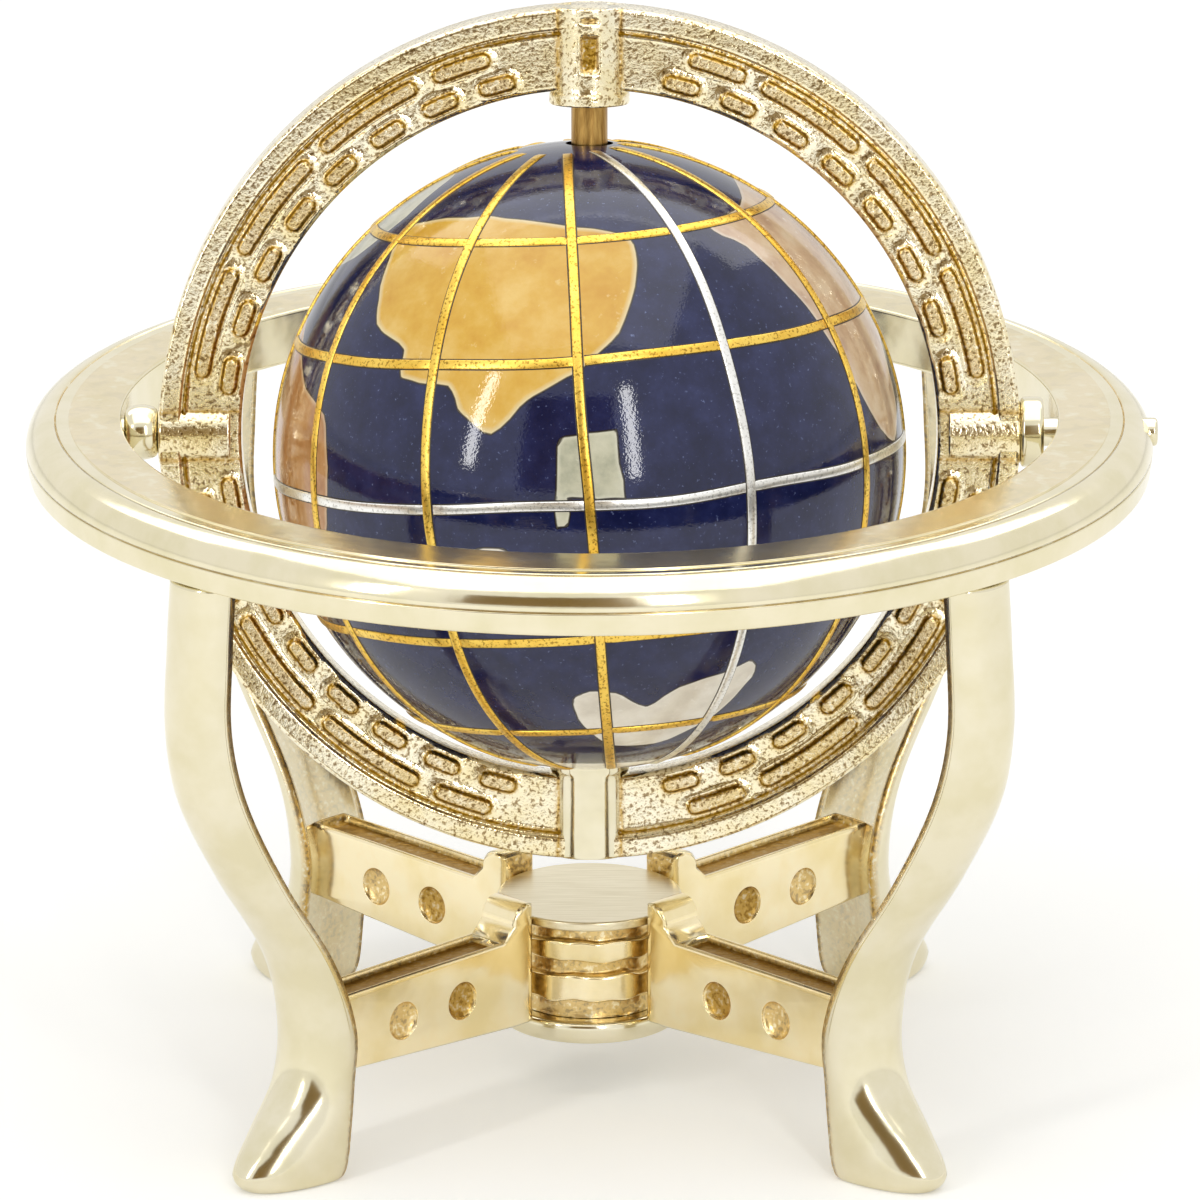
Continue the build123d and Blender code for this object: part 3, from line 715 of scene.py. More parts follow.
@dataclass
class Ball:
    """The stone ball: ocean, land pieces and the wires that part them."""

    finishes: Finishes
    radius: float = 16.5
    drop: float = 1.2
    recess_radius: float = 2.9
    hole_radius: float = 1.25
    recess_depth: float = 0.7
    polar_cap: float = -68.0
    segments: int = 240
    coast_parts: int = 4
    coast_straight: float = 0.35
    coast_wander: float = 0.5
    coast_pitch: float = 0.31
    coast_seed: float = 3.7
    coast_shift: tuple[float, float, float] = (9.0, 4.0, 2.0)
    cut_margin: float = 1.0
    cut_spread: float = 3.0
    facing: float = 0.05
    edge_limit: float = 5.0
    arc_reach: float = 2.0
    skin_cosine: float = 0.8
    roll: float = 4.0
    step: int = 30
    high_parallel: float = 51.0
    low_parallel: float = 26.0
    date_line: int = 30
    wire_width: float = 0.5
    wire_rise: float = 0.1
    wire_dome: tuple[Point2, ...] = (
        (-0.5, 0.0), (-0.47, 0.6), (-0.38, 0.9), (0.0, 1.0), (0.38, 0.9), (0.47, 0.6), (0.5, 0.0))
    wire_margin: float = 0.2
    wire_wander: float = 0.7
    wander_pitch: float = 0.13
    longitude_pitch: float = 0.7
    meridian_seed: float = 1.5
    meridian_steps: int = 96
    parallel_steps: int = 16
    seat_overhang: float = 0.06
    seat_rise: float = 0.012
    seat_short: float = 1.0
    core_radius: float = 15.7
    core_points: int = 48
    spot_depth: float = 0.1
    flange_radius: float = 2.6
    flange_thickness: float = 0.5
    bush_bore: float = 0.99
    bush_radius: float = 1.44
    bush_length: float = 5.0
    bush_edge: float = 0.08
    bush_edge_parts: int = 3
    turn_steps: int = 64

    def __post_init__(self) -> None:
        """Work out the frames of the ball and of its wires, and where the wires end at the poles."""
        self.frame = frame_matrix(GIMBAL_CENTRE - POLE * self.drop, RIGHT, POLE)
        self.grid = self.frame @ Matrix.Rotation(-math.radians(self.roll), 4, "Y")
        shift = self.radius * math.sin(math.radians(self.roll)) + self.wire_margin
        self.north_end = math.degrees(math.acos((self.hole_radius + shift) / self.radius))
        self.south_end = math.degrees(math.acos((self.recess_radius + shift) / self.radius))

    @staticmethod
    def direction(longitude: float, latitude: float) -> Vector:
        """Unit vector to a place on the ball, in the ball's own axes, with longitude 0 at the front."""
        lon, lat = math.radians(longitude), math.radians(latitude)
        return Vector((math.sin(lon) * math.cos(lat), -math.cos(lon) * math.cos(lat), math.sin(lat)))

    def inside(self, outline: Sequence[Vector], middle: Vector, point: Vector) -> bool:
        """Whether a direction lies inside an outline of directions, seen from the centre.

        Args:
            outline: directions in order.
            middle: direction to the middle of the outline.
            point: direction to test; it need not be a unit vector.

        Returns:
            True inside.
        """
        if point.dot(middle) <= self.facing:
            return False
        aside = Vector((0, 0, 1)).cross(middle).normalized()
        upward = middle.cross(aside)
        flat = [(d.dot(aside) / d.dot(middle), d.dot(upward) / d.dot(middle)) for d in outline]
        u = point.dot(aside) / point.dot(middle)
        v = point.dot(upward) / point.dot(middle)
        found = False
        for (u0, v0), (u1, v1) in zip(flat, flat[1:] + flat[:1]):
            if (v0 > v) != (v1 > v) and u < u0 + (v - v0) * (u1 - u0) / (v1 - v0):
                found = not found
        return found

    def coast(self, places: Sequence[Point2]) -> list[Vector]:
        """Round an outline and roughen it a little, as a hand-cut edge is.

        Args:
            places: corners as longitude and latitude.

        Returns:
            Directions to the points of the finer outline.
        """
        result = []
        count = len(places)
        for i in range(count):
            p0, p1, p2, p3 = (Vector(places[(i + k) % count]) for k in (-1, 0, 1, 2))
            for part in range(self.coast_parts):
                t = part / self.coast_parts
                spot = 0.5 * (2 * p1 + (p2 - p0) * t + (2 * p0 - 5 * p1 + 4 * p2 - p3) * t * t
                              + (3 * p1 - p0 - 3 * p2 + p3) * t ** 3)
                spot = spot.lerp(p1.lerp(p2, t), self.coast_straight)
                seed = Vector((spot.x, spot.y, self.coast_seed)) * self.coast_pitch
                drift = (value_noise(seed), value_noise(seed + Vector(self.coast_shift)))
                spot += Vector(drift) * self.coast_wander
                result.append(self.direction(spot.x, spot.y))
        return result

    def build_stones(self) -> None:
        """Cut one sphere along the outlines of the lands and make a piece of each part."""
        shape = bmesh.new()
        bmesh.ops.create_uvsphere(
            shape, u_segments=self.segments, v_segments=self.segments // 2, radius=self.radius
        )
        tag = shape.faces.layers.int.new("piece")
        shape.verts.layers.float.new("edge")
        for turn, opening in ((1, self.hole_radius), (-1, self.recess_radius)):
            rim = math.sqrt(self.radius ** 2 - opening ** 2)
            bmesh.ops.bisect_plane(shape, geom=everything(shape), plane_co=(0, 0, turn * rim),
                                   plane_no=(0, 0, turn), clear_outer=True)
        cap = math.sin(math.radians(self.polar_cap)) * self.radius
        bmesh.ops.bisect_plane(shape, geom=everything(shape), plane_co=(0, 0, cap), plane_no=(0, 0, 1))
        arcs: list[tuple[Vector, Vector]] = []
        for index, (_, places) in enumerate(LANDS.values(), start=1):
            outline = self.coast(places)
            middle = sum(outline, Vector()).normalized()
            spread = max(d.angle(middle) for d in outline) + math.radians(self.cut_spread)
            faces = {f for f in shape.faces if f.calc_center_median().angle(middle) < spread}
            for first, second in zip(outline, outline[1:] + outline[:1]):
                arcs.append((first, second))
                spot = (first + second) / 2 * self.radius
                reach = (second - first).length / 2 * self.radius + self.cut_margin
                near = [f for f in faces if (f.calc_center_median() - spot).length < reach]
                geom = list({v for f in near for v in f.verts} | {e for f in near for e in f.edges}) + near
                cut_geom = bmesh.ops.bisect_plane(
                    shape, geom=geom, dist=TINY, plane_co=(0, 0, 0), plane_no=first.cross(second)
                )["geom"]
                faces.difference_update(near)
                faces.update(item for item in cut_geom if isinstance(item, bmesh.types.BMFace))
            for face in faces:
                if self.inside(outline, middle, face.calc_center_median()):
                    face[tag] = index
        last = len(LANDS) + 1
        for face in shape.faces:
            if face.calc_center_median().z < cap:
                face[tag] = last
        for vert in shape.verts:
            vert.co = vert.co.normalized() * self.radius
        lip = [e for e in shape.edges if e.is_boundary]
        wall = []
        for item in bmesh.ops.extrude_edge_only(shape, edges=lip)["geom"]:
            if isinstance(item, bmesh.types.BMVert):
                item.co.z -= math.copysign(self.recess_depth, item.co.z)
            elif isinstance(item, bmesh.types.BMFace):
                item[tag] = 0 if item.calc_center_median().z > 0 else last
                wall.append(item)
        bmesh.ops.recalc_face_normals(shape, faces=shape.faces)
        bmesh.ops.split(shape, geom=wall)
        self.mark_edges(shape, arcs, cap)
        self.split_stones(shape)

    def mark_edges(self, shape: bmesh.types.BMesh, arcs: Sequence[tuple[Vector, Vector]], cap: float) -> None:
        """Write how far each vertex lies from the nearest outline.

        Args:
            shape: the whole skin in the ball's own axes.
            arcs: edges of all outlines.
            cap: height of the edge of the polar cap.
        """
        points = np.array([v.co for v in shape.verts])
        nearest = np.full(len(points), self.edge_limit)
        for first, second in arcs:
            a, b = np.array(first) * self.radius, np.array(second) * self.radius
            close = np.flatnonzero(((points - (a + b) / 2) ** 2).sum(axis=1) < self.arc_reach ** 2)
            t = np.clip(((points[close] - a) @ (b - a)) / ((b - a) @ (b - a)), 0, 1)
            spot = a + t[:, None] * (b - a)
            spot *= self.radius / np.linalg.norm(spot, axis=1)[:, None]
            nearest[close] = np.minimum(nearest[close], np.linalg.norm(points[close] - spot, axis=1))
        level = np.maximum(TINY, np.hypot(points[:, 0], points[:, 1]))
        opening = np.where(points[:, 2] > 0, self.hole_radius, self.recess_radius)
        nearest = np.minimum(nearest, np.abs(points[:, 2] - cap) * self.radius / level)
        nearest = np.minimum(nearest, np.abs(level - opening))
        layer = shape.verts.layers.float["edge"]
        for vert, distance in zip(shape.verts, nearest.tolist()):
            vert[layer] = distance

    def split_stones(self, shape: bmesh.types.BMesh) -> None:
        """Make one piece of all the faces that carry the same index.

        Args:
            shape: the whole skin in the ball's own axes; freed here.
        """
        stones = [("ocean", Slot.LAPIS), *((node, slot) for node, (slot, _) in LANDS.items()),
                  ("land_antarctica", Slot.PEARL)]
        for index, (node, slot) in enumerate(stones):
            stone = shape.copy()
            tag = stone.faces.layers.int["piece"]
            bmesh.ops.delete(stone, geom=[f for f in stone.faces if f[tag] != index], context="FACES")
            add_piece(f"{node}_stone", moved(stone, self.frame), self.finishes.stones[slot], Body.BALL, slot,
                      node, normals=self.round_normals)
        shape.free()

    def round_normals(self, mesh: bpy.types.Mesh) -> None:
        """Point the normals of the ball's face straight out of its centre, and leave those of the openings.

        Args:
            mesh: mesh of a stone, in metres.
        """
        own = np.array([v.normal for v in mesh.vertices])
        outward = np.array([v.co for v in mesh.vertices]) - np.array(self.frame.translation) * MM
        outward /= np.linalg.norm(outward, axis=1)[:, None]
        faces_out = (own * outward).sum(axis=1) > self.skin_cosine
        mesh.normals_split_custom_set_from_vertices(np.where(faces_out[:, None], outward, own).tolist())

    def strip(self, start: Vector, across: Vector, axis: Vector, angle: float, width: float, rise: float,
              steps: int) -> bmesh.types.BMesh:
        """Sweep a low domed strip over the ball.

        Args:
            start: direction where the strip starts.
            across: direction of its width there.
            axis: axis that it is swept about.
            angle: how far it is swept.
            width: width of the strip.
            rise: height of its middle over the stone.
            steps: segments along it.

        Returns:
            The strip in the wires' own axes, with its ends brought down to the stone.
        """
        shape = bmesh.new()
        verts = []
        for share, height in self.wire_dome:
            slant = (start * self.radius + across * share * width).normalized()
            verts.append(shape.verts.new(slant * (self.radius + height * rise)))
        edges = [shape.edges.new(pair) for pair in zip(verts, verts[1:])]
        last = bmesh.ops.spin(shape, geom=verts + edges, cent=(0, 0, 0), axis=axis, angle=angle, steps=steps,
                              use_duplicate=False)["geom_last"]
        for vert in verts + only_verts(last):
            vert.co = vert.co.normalized() * self.radius
        bmesh.ops.recalc_face_normals(shape, faces=shape.faces)
        for face in shape.faces:
            if face.normal.dot(face.calc_center_median()) < 0:
                face.normal_flip()
        return shape

    def meridian(self, longitude: float, width: float, rise: float, short: float = 0.0) -> bmesh.types.BMesh:
        """One strip along a meridian, which wanders a little as a hand-laid wire does.

        Args:
            longitude: place of the strip.
            width: width of the strip.
            rise: height over the stone.
            short: degrees by which it stops short of the wire's ends.

        Returns:
            The strip in the wires' own axes.
        """
        across = self.direction(longitude + 90, 0)
        start = self.direction(longitude, short - self.south_end)
        sweep = math.radians(self.south_end + self.north_end - 2 * short)
        shape = self.strip(start, across, -across, sweep, width, rise, self.meridian_steps)
        for vert in shape.verts:
            seed = (longitude * self.longitude_pitch, vert.co.z * self.wander_pitch, self.meridian_seed)
            drift = math.radians(value_noise(Vector(seed)) * self.wire_wander)
            vert.co = Matrix.Rotation(drift, 3, "Z") @ vert.co
        return shape

    def parallel(self, latitude: float, width: float, rise: float) -> list[bmesh.types.BMesh]:
        """Strips along a parallel, each from one meridian to the next, which wander up and down a little.

        Args:
            latitude: place of the strips.
            width: width of the strips.
            rise: height over the stone.

        Returns:
            The strips in the wires' own axes.
        """
        arcs = []
        margin = math.asin(self.wire_width / 2 / (self.radius * math.cos(math.radians(latitude))))
        sweep = math.radians(self.step) - 2 * margin
        for longitude in range(0, 360, self.step):
            place = longitude + math.degrees(margin)
            start = self.direction(place, latitude)
            across = (self.direction(place, latitude + 1) - start).normalized()
            arc = self.strip(start, across, Vector((0, 0, 1)), sweep, width, rise, self.parallel_steps)
            for vert in arc.verts:
                seed = (vert.co.x * self.wander_pitch, vert.co.y * self.wander_pitch, latitude)
                drift = self.radius * math.radians(value_noise(Vector(seed)) * self.wire_wander)
                vert.co = (vert.co + Vector((0, 0, drift))).normalized() * vert.co.length
            arcs.append(arc)
        return arcs

    def build_wires(self) -> None:
        """Lay the wires over the stone, each on a dark line of glue."""
        width, rise = self.wire_width, self.wire_rise
        wide = width + 2 * self.seat_overhang
        silver = (self.finishes.silver, Slot.SILVER_WIRE)
        brass = (self.finishes.wire, Slot.BRASS_WIRE)
        longitudes = range(0, 360, self.step)
        others = [lon for lon in longitudes if lon != self.date_line]
        parallels = {
            "equator": ("equator_wires", 0.0, silver),
            "parallel_north_high": ("parallel_wires_north_high", self.high_parallel, brass),
            "parallel_north_low": ("parallel_wires_north_low", self.low_parallel, brass),
            "parallel_south_low": ("parallel_wires_south_low", -self.low_parallel, brass),
            "parallel_south_high": ("parallel_wires_south_high", -self.high_parallel, brass),
        }
        groups = [("date_line", "date_line_wire", [self.meridian(self.date_line, width, rise)], silver),
                  ("meridians", "meridian_wires", [self.meridian(lon, width, rise) for lon in others], brass)]
        seats = [self.meridian(lon, wide, self.seat_rise, self.seat_short) for lon in longitudes]
        for name, (node, latitude, dress) in parallels.items():
            groups.append((name, node, self.parallel(latitude, width, rise), dress))
            seats += self.parallel(latitude, wide, self.seat_rise)
        for name, node, strips, (material, slot) in groups:
            add_piece(f"{name}_wire_strip", moved(joined(strips), self.grid), material, Body.BALL, slot,
                      node)
        add_piece("wire_glue_lines", moved(joined(seats), self.grid), self.finishes.glue, Body.BALL,
                  Slot.CORE_RESIN, normals=None)

    def build_core(self) -> None:
        """Turn the core and the two bushes; only the lower bush shows, in the recess under the ball."""
        lower = self.core_radius - self.spot_depth
        upper = math.sqrt(self.core_radius ** 2 - self.recess_radius ** 2) - self.flange_thickness
        flat = math.sqrt(self.core_radius ** 2 - lower ** 2)
        south, north = (math.acos(r / self.core_radius) for r in (flat, self.recess_radius))
        arc = [(self.core_radius * math.cos(a), self.core_radius * math.sin(a))
               for a in np.linspace(-south, north, self.core_points)]
        bore = self.bush_radius + FIT
        core = turned([(bore, -lower), *arc, (self.recess_radius, upper), (bore, upper)], self.turn_steps)
        add_piece("globe_core_resin", moved(core, self.frame), self.finishes.resin, Body.BALL,
                  Slot.CORE_RESIN, "globe_core", normals=None)
        for name, turn, seat in (("bush_upper", 1, upper), ("bush_lower", -1, lower)):
            face, end = seat + self.flange_thickness, seat - self.bush_length
            profile = soften([
                (self.bush_bore, face), (self.flange_radius, face), (self.flange_radius, seat),
                (self.bush_radius, seat), (self.bush_radius, end), (self.bush_bore, end)],
                self.bush_edge, self.bush_edge_parts, True)
            bush = turned([(r, turn * z) for r, z in profile], self.turn_steps)
            add_piece(f"{name}_eyelet", moved(bush, self.frame), self.finishes.pin, Body.BALL,
                      Slot.PIN_BRASS, name)

    def build(self) -> None:
        """Build the whole ball."""
        self.build_core()
        self.build_stones()
        self.build_wires()


@dataclass
class MeridianRing:
    """The cast ring with its pockets and bosses, the polar pin and the trunnions."""

    finishes: Finishes
    inner: float = 18.2
    outer: float = 22.5
    band_inner: float = 21.4
    plate_half: float = 1.2
    band_half: float = 1.5
    edge: float = 0.22
    edge_points: int = 5
    face_pitch: float = 0.085
    face_gap: float = 0.05
    step_foot: float = 0.03
    step_knee: Point2 = (0.05, 0.04)
    step_head: float = 0.12
    band_pitch: float = 0.12
    band_gaps: Point2 = (0.25, 0.03)
    face_slack: float = 0.02
    ring_steps: int = 912
    pocket_depth: float = 0.33
    pocket_wall: float = 0.16
    pocket_limit: float = 9.0
    rim_rise: float = 0.07
    rim_width: float = 0.2
    # Painted shade: on the pocket floors, as dark outlines on the pocket walls and in the line under the
    # band, and in a line at the seams where the bosses meet the plate
    floor_brown: float = 0.4
    outline_brown: float = 1.5
    outline_middle: float = 0.5
    outline_width: float = 0.6
    seam: float = 0.13
    seam_brown: float = 0.9
    inner_row: float = 19.05
    inner_length: float = 2.1
    inner_width: float = 0.95
    inner_start: float = 9.6
    inner_pitch: float = 9.4
    inner_count: int = 8
    outer_row: float = 20.5
    outer_width: float = 0.95
    outer_start: float = 17.0
    outer_pitch: float = 19.3
    outer_span: float = 14.5
    outer_count: int = 3
    short_angle: float = 71.0
    short_span: float = 6.5
    line_width: float = 0.2
    line_depth: float = 0.12
    pole_boss: float = 2.1
    pole_body: float = 1.98
    pole_reach: float = 17.35
    pole_flat: float = 1.85
    pole_lip: Point2 = (0.55, 0.75)
    pole_lip_round: float = 0.12
    pole_end_gap: float = 0.02
    pole_end_round: float = 0.15
    shaft_gaps: Point2 = (1.0, 0.3)
    shaft_pitch: float = 0.1
    pole_steps: int = 192
    trunnion_boss: float = 1.7
    trunnion_reach: float = 18.75
    trunnion_seat: float = 22.55
    trunnion_round: float = 0.2
    trunnion_steps: int = 96
    window_width: float = 1.2
    window_height: float = 2.2
    window_depth: float = 0.3
    window_edge: float = 0.32
    # Painted shade in the stake windows
    window_brown: float = 0.95
    window_guard: float = 0.1
    bridge: float = 0.4
    pin_radius: float = 0.95
    pin_end: float = 21.9
    pin_edge: float = 0.1
    pin_edge_parts: int = 3
    trunnion_pin: float = 0.75
    trunnion_root: float = 19.35
    trunnion_edge: float = 0.22
    left_end: float = 27.5
    right_end: float = 29.75
    rod_steps: int = 48
    bead_radius: float = 1.45
    bead_end_radius: float = 1.0
    bead_end: float = 24.35
    bead_points: int = 17
    collar_radius: float = 1.85
    collar_thickness: float = 1.2
    collar_edge: float = 0.3
    collar_edge_parts: int = 5
    bead_steps: int = 64

    def pocket_distance(self, radius: np.ndarray, angle: np.ndarray) -> np.ndarray:
        """Signed distance to the nearest pocket edge.

        Args:
            radius: distances of the places from the ring's axis.
            angle: their angles round it.

        Returns:
            The distances, negative inside a pocket.
        """
        fold = np.degrees(angle) % 180
        fold = np.where(fold > 90, 180 - fold, fold)
        rows = [(self.inner_row, self.inner_width, self.inner_length - self.inner_width,
                 self.inner_start + i * self.inner_pitch) for i in range(self.inner_count)]
        rows += [(self.outer_row, self.outer_width, math.radians(self.outer_span) * self.outer_row,
                  self.outer_start + i * self.outer_pitch) for i in range(self.outer_count)]
        rows.append((self.outer_row, self.outer_width, math.radians(self.short_span) * self.outer_row,
                     self.short_angle))
        best = np.full(len(radius), self.pocket_limit)
        for row, width, length, centre in rows:
            along = np.maximum(np.radians(np.abs(fold - centre)) * row - length / 2, 0)
            best = np.minimum(best, np.hypot(along, radius - row) - width / 2)
        return best

    def relief(self, radius: np.ndarray, angle: np.ndarray) -> tuple[np.ndarray, np.ndarray]:
        """Shape of the cast relief: pockets with raised rims, the line under the band and boss seams, and the
        shade painted into them.

        Args:
            radius: distances of the places from the ring's axis.
            angle: their angles round it.

        Returns:
            Heights over the plate or the band, and how much painted shade the places get.
        """
        distance = self.pocket_distance(radius, angle)
        sink = ease(-distance / self.pocket_wall)
        ridge = 1 - ease(np.abs(distance - self.rim_width / 2) / self.rim_width)
        line = 1 - ease(np.abs(radius - (self.band_inner - self.line_width)) / self.line_width)
        height = self.rim_rise * ridge - self.pocket_depth * sink - self.line_depth * line
        depth = distance + self.outline_middle * self.pocket_wall
        outline = np.maximum(np.exp(-(depth / (self.outline_width * self.pocket_wall)) ** 2), line)
        # Where the bosses meet the plate, a line of painted shade
        aside, upward = np.abs(radius * np.cos(angle)), np.abs(radius * np.sin(angle))
        pole_seam, side_seam = (
            math.sqrt(r ** 2 - self.plate_half ** 2) for r in (self.pole_body, self.trunnion_boss))
        seam = np.where(upward > aside, aside - pole_seam, upward - side_seam)
        seam = np.exp(-((seam - self.seam / 2) / self.seam) ** 2)
        # Painted shade: outlines on the pocket walls and the line, browner pocket floors and the seam lines
        brown = self.outline_brown * outline + self.floor_brown * sink + self.seam_brown * seam
        return height, np.clip(brown, 0, 1)

    def build_ring(self) -> None:
        """Spin the ring's section and press the relief into both faces."""
        edge, base, high = self.edge, self.band_inner, self.band_half
        knee, dip = self.step_knee
        band_start, band_stop = self.band_gaps
        arc = [(1 - math.cos(a), math.sin(a)) for a in np.linspace(0, math.pi / 2, self.edge_points)]
        face = np.arange(self.inner + edge, base - self.face_gap, self.face_pitch)
        band = np.arange(base + band_start, self.outer - edge - band_stop, self.band_pitch)
        half = [(self.inner, 0.0)]
        half += [(self.inner + edge * t, self.plate_half - edge + edge * s) for t, s in arc]
        half += [(r, self.plate_half) for r in (*face[1:], base - self.step_foot)]
        half += [(base + knee, high - dip), (base + self.step_head, high)]
        half += [(r, high) for r in band]
        half += [(self.outer - edge * t, high - edge + edge * s) for t, s in reversed(arc)]
        half.append((self.outer, 0.0))
        profile = [(float(r), float(z)) for r, z in half]
        profile += [(r, -z) for r, z in reversed(profile[1:-1])]
        shape = turned(profile, self.ring_steps)
        layer = shape.verts.layers.float.new("painted_darkening")
        x, y, _ = np.array([v.co for v in shape.verts]).T
        height, brown = self.relief(np.hypot(x, y), np.arctan2(y, x))
        # Only the faces get the relief and its painted shade
        for vert, rise, tint in zip(shape.verts, height.tolist(), brown.tolist()):
            if abs(vert.co.z) > self.plate_half - self.face_slack:
                vert.co.z += math.copysign(rise, vert.co.z)
                vert[layer] = tint
        add_piece("meridian_ring_cast", moved(shape, RING_FRAME), self.finishes.cast, Body.GIMBAL,
                  Slot.CAST_GOLD, "meridian_ring", normals=None)

    def build_bosses(self) -> None:
        """Turn the pole and trunnion bosses that are cast into the ring."""
        start, body, end = self.pole_reach, self.pole_body, self.outer - self.pole_end_gap
        bore, hole = self.pin_radius + FIT, self.trunnion_pin + FIT
        lip, neck = self.pole_lip
        low, high = self.shaft_gaps
        shaft = [(body, float(z)) for z in np.arange(start + low, end - high, self.shaft_pitch)]
        pole = soften([(bore, start), (self.pole_boss, start), (self.pole_boss, start + lip),
                       (body, start + neck)], self.pole_lip_round)
        pole += shaft + soften([shaft[-1], (body, end), (bore, end)], self.pole_end_round)[1:]
        seat = [(hole, self.trunnion_reach), (self.trunnion_boss, self.trunnion_reach),
                (self.trunnion_boss, self.trunnion_seat), (hole, self.trunnion_seat)]
        upper, lower = (turned([(r, turn * z) for r, z in pole], self.pole_steps) for turn in (1, -1))
        sides = ([(r, turn * z) for r, z in seat] for turn in (1, -1))
        right, left = (turned(soften(side, self.trunnion_round, closed=True), self.trunnion_steps)
                       for side in sides)
        self.press_windows(upper)
        for vert in lower.verts:
            vert.co.y = max(vert.co.y, -self.pole_flat)
        rough = joined([moved(upper, POLAR_FRAME), *(moved(side, TRUNNION_FRAME) for side in (right, left))])
        flat = moved(lower, POLAR_FRAME)
        add_piece("cast_bosses", rough, self.finishes.cast, Body.GIMBAL, Slot.CAST_GOLD)
        add_piece("flat_boss", flat, self.finishes.polished, Body.GIMBAL, Slot.CAST_GOLD)

    def press_windows(self, boss: bmesh.types.BMesh) -> None:
        """Press the two stake windows into the front of the upper pole boss.

        Args:
            boss: the boss in the pin's own axes.
        """
        top = self.band_inner - self.bridge / 2
        windows = [(top - self.window_height, top), (top + self.bridge, self.outer - self.bridge)]
        layer = boss.verts.layers.float.new("painted_darkening")
        for vert in boss.verts:
            if vert.co.y > -self.pin_radius - self.window_guard:
                continue
            across = ease((self.window_width / 2 - abs(vert.co.x)) / self.window_edge)
            for low, high in windows:
                depth = across * ease(min(vert.co.z - low, high - vert.co.z) / self.window_edge)
                if depth > 0:
                    vert.co.y += self.window_depth * depth
                    # Painted shade in the windows, strongest where they sink deepest
                    vert[layer] = max(vert[layer], self.window_brown * depth)

    def rod(self, radius: float, start: float, stop: float, edge: float, parts: int = 4) -> bmesh.types.BMesh:
        """Turn a pin with rounded ends.

        Args:
            radius: radius of the pin.
            start: height of one end.
            stop: height of the other end.
            edge: rounding of the ends.
            parts: segments of that rounding.

        Returns:
            The pin about the Z axis.
        """
        profile = [(0.0, start), (radius, start), (radius, stop), (0.0, stop)]
        return turned(soften(profile, edge, parts), self.rod_steps, False)

    def build_pins(self) -> None:
        """Turn the polar pin, the trunnion pins, the bead and the collar."""
        hole, seat, root = self.trunnion_pin + FIT, self.trunnion_seat, self.trunnion_root
        pin = self.rod(self.pin_radius, -self.pin_end, self.pin_end, self.pin_edge, self.pin_edge_parts)
        add_piece("polar_pin_rod", moved(pin, POLAR_FRAME), self.finishes.pin, Body.GIMBAL, Slot.PIN_BRASS,
                  "polar_pin")
        swell = self.bead_radius - self.bead_end_radius
        middle, half = (seat + self.bead_end) / 2, (self.bead_end - seat) / 2
        bulge = [(self.bead_end_radius + swell * math.sqrt(1 - t * t), -(middle + t * half))
                 for t in np.linspace(-1, 1, self.bead_points)]
        stop = seat + self.collar_thickness
        collar = [(hole, seat), (self.collar_radius, seat), (self.collar_radius, stop), (hole, stop)]
        collar = soften(collar, self.collar_edge, self.collar_edge_parts, True)
        for name, node, shape in (
                ("trunnion_pin_left_rod", "trunnion_pin_left",
                 self.rod(self.trunnion_pin, -root, -self.left_end, self.trunnion_edge)),
                ("trunnion_pin_right_rod", "trunnion_pin_right",
                 self.rod(self.trunnion_pin, root, self.right_end, self.trunnion_edge)),
                ("trunnion_bead", "trunnion_bead_left",
                 turned([(hole, -seat), *bulge, (hole, -self.bead_end)], self.bead_steps)),
                ("trunnion_collar", "trunnion_collar_right", turned(collar, self.bead_steps))):
            add_piece(name, moved(shape, TRUNNION_FRAME), self.finishes.polished, Body.GIMBAL,
                      Slot.POLISHED_GOLD, node)

    def build(self) -> None:
        """Build the whole gimbal."""
        self.build_ring()
        self.build_bosses()
        self.build_pins()


@dataclass
class HorizonRing:
    """The turned ring that carries the trunnions."""

    finishes: Finishes
    inner: float = 24.5
    outer: float = 29.5
    rise: float = 1.15
    drop: float = 1.75
    flat: float = 2.75
    rim: float = 0.65
    line: float = 0.12
    line_depth: float = 0.15
    rim_step: float = 0.08
    band: float = 1.2
    edge: float = 0.2
    # Painted reflection: share of browning on the flat top
    flat_brown: float = 0.22
    nose_points: int = 20
    steps: int = 360

    def build(self) -> None:
        """Turn the ring, paint shade into its two lines and paint a little reflection onto its flat top."""
        rim_inner = self.inner + self.flat
        rim_outer = rim_inner + self.rim
        nose = rim_outer + self.line
        rim_height = self.rise - self.rim_step
        band_top = self.band - self.drop
        nose_bottom = band_top + self.line
        band_radius = self.outer - self.line_depth
        reach, fall = self.outer - nose, rim_height - nose_bottom
        bull = [(nose + reach * math.cos(a), nose_bottom + fall * math.sin(a))
                for a in np.linspace(0, math.pi / 2, self.nose_points)]
        corners = [
            (rim_outer + self.line / 2, rim_height - self.line_depth), (rim_outer, rim_height),
            (rim_inner, rim_height), (rim_inner, self.rise), (self.inner, self.rise),
            (self.inner, -self.drop), (band_radius, -self.drop), (self.outer, band_top),
            (band_radius, band_top + self.line / 2)]
        profile = bull + soften(corners, self.edge)
        shape = turned([(r, z + GIMBAL_HEIGHT) for r, z in profile], self.steps)
        # Painted shade in the two engraved lines
        paint_darkening(shape, lambda co: max(
            1 - ease(math.hypot(math.hypot(co.x, co.y) - r, co.z - GIMBAL_HEIGHT - z) / self.line)
            for r, z in (corners[0], corners[-1])))
        # Painted reflection: the flat top a little browner
        top = GIMBAL_HEIGHT + self.rise - self.rim_step / 2
        paint_darkening(shape, lambda co: self.flat_brown if co.z > top else 0.0)
        add_piece("horizon_ring_turned", shape, self.finishes.turned, Body.STAND, Slot.POLISHED_GOLD,
                  "horizon_ring")


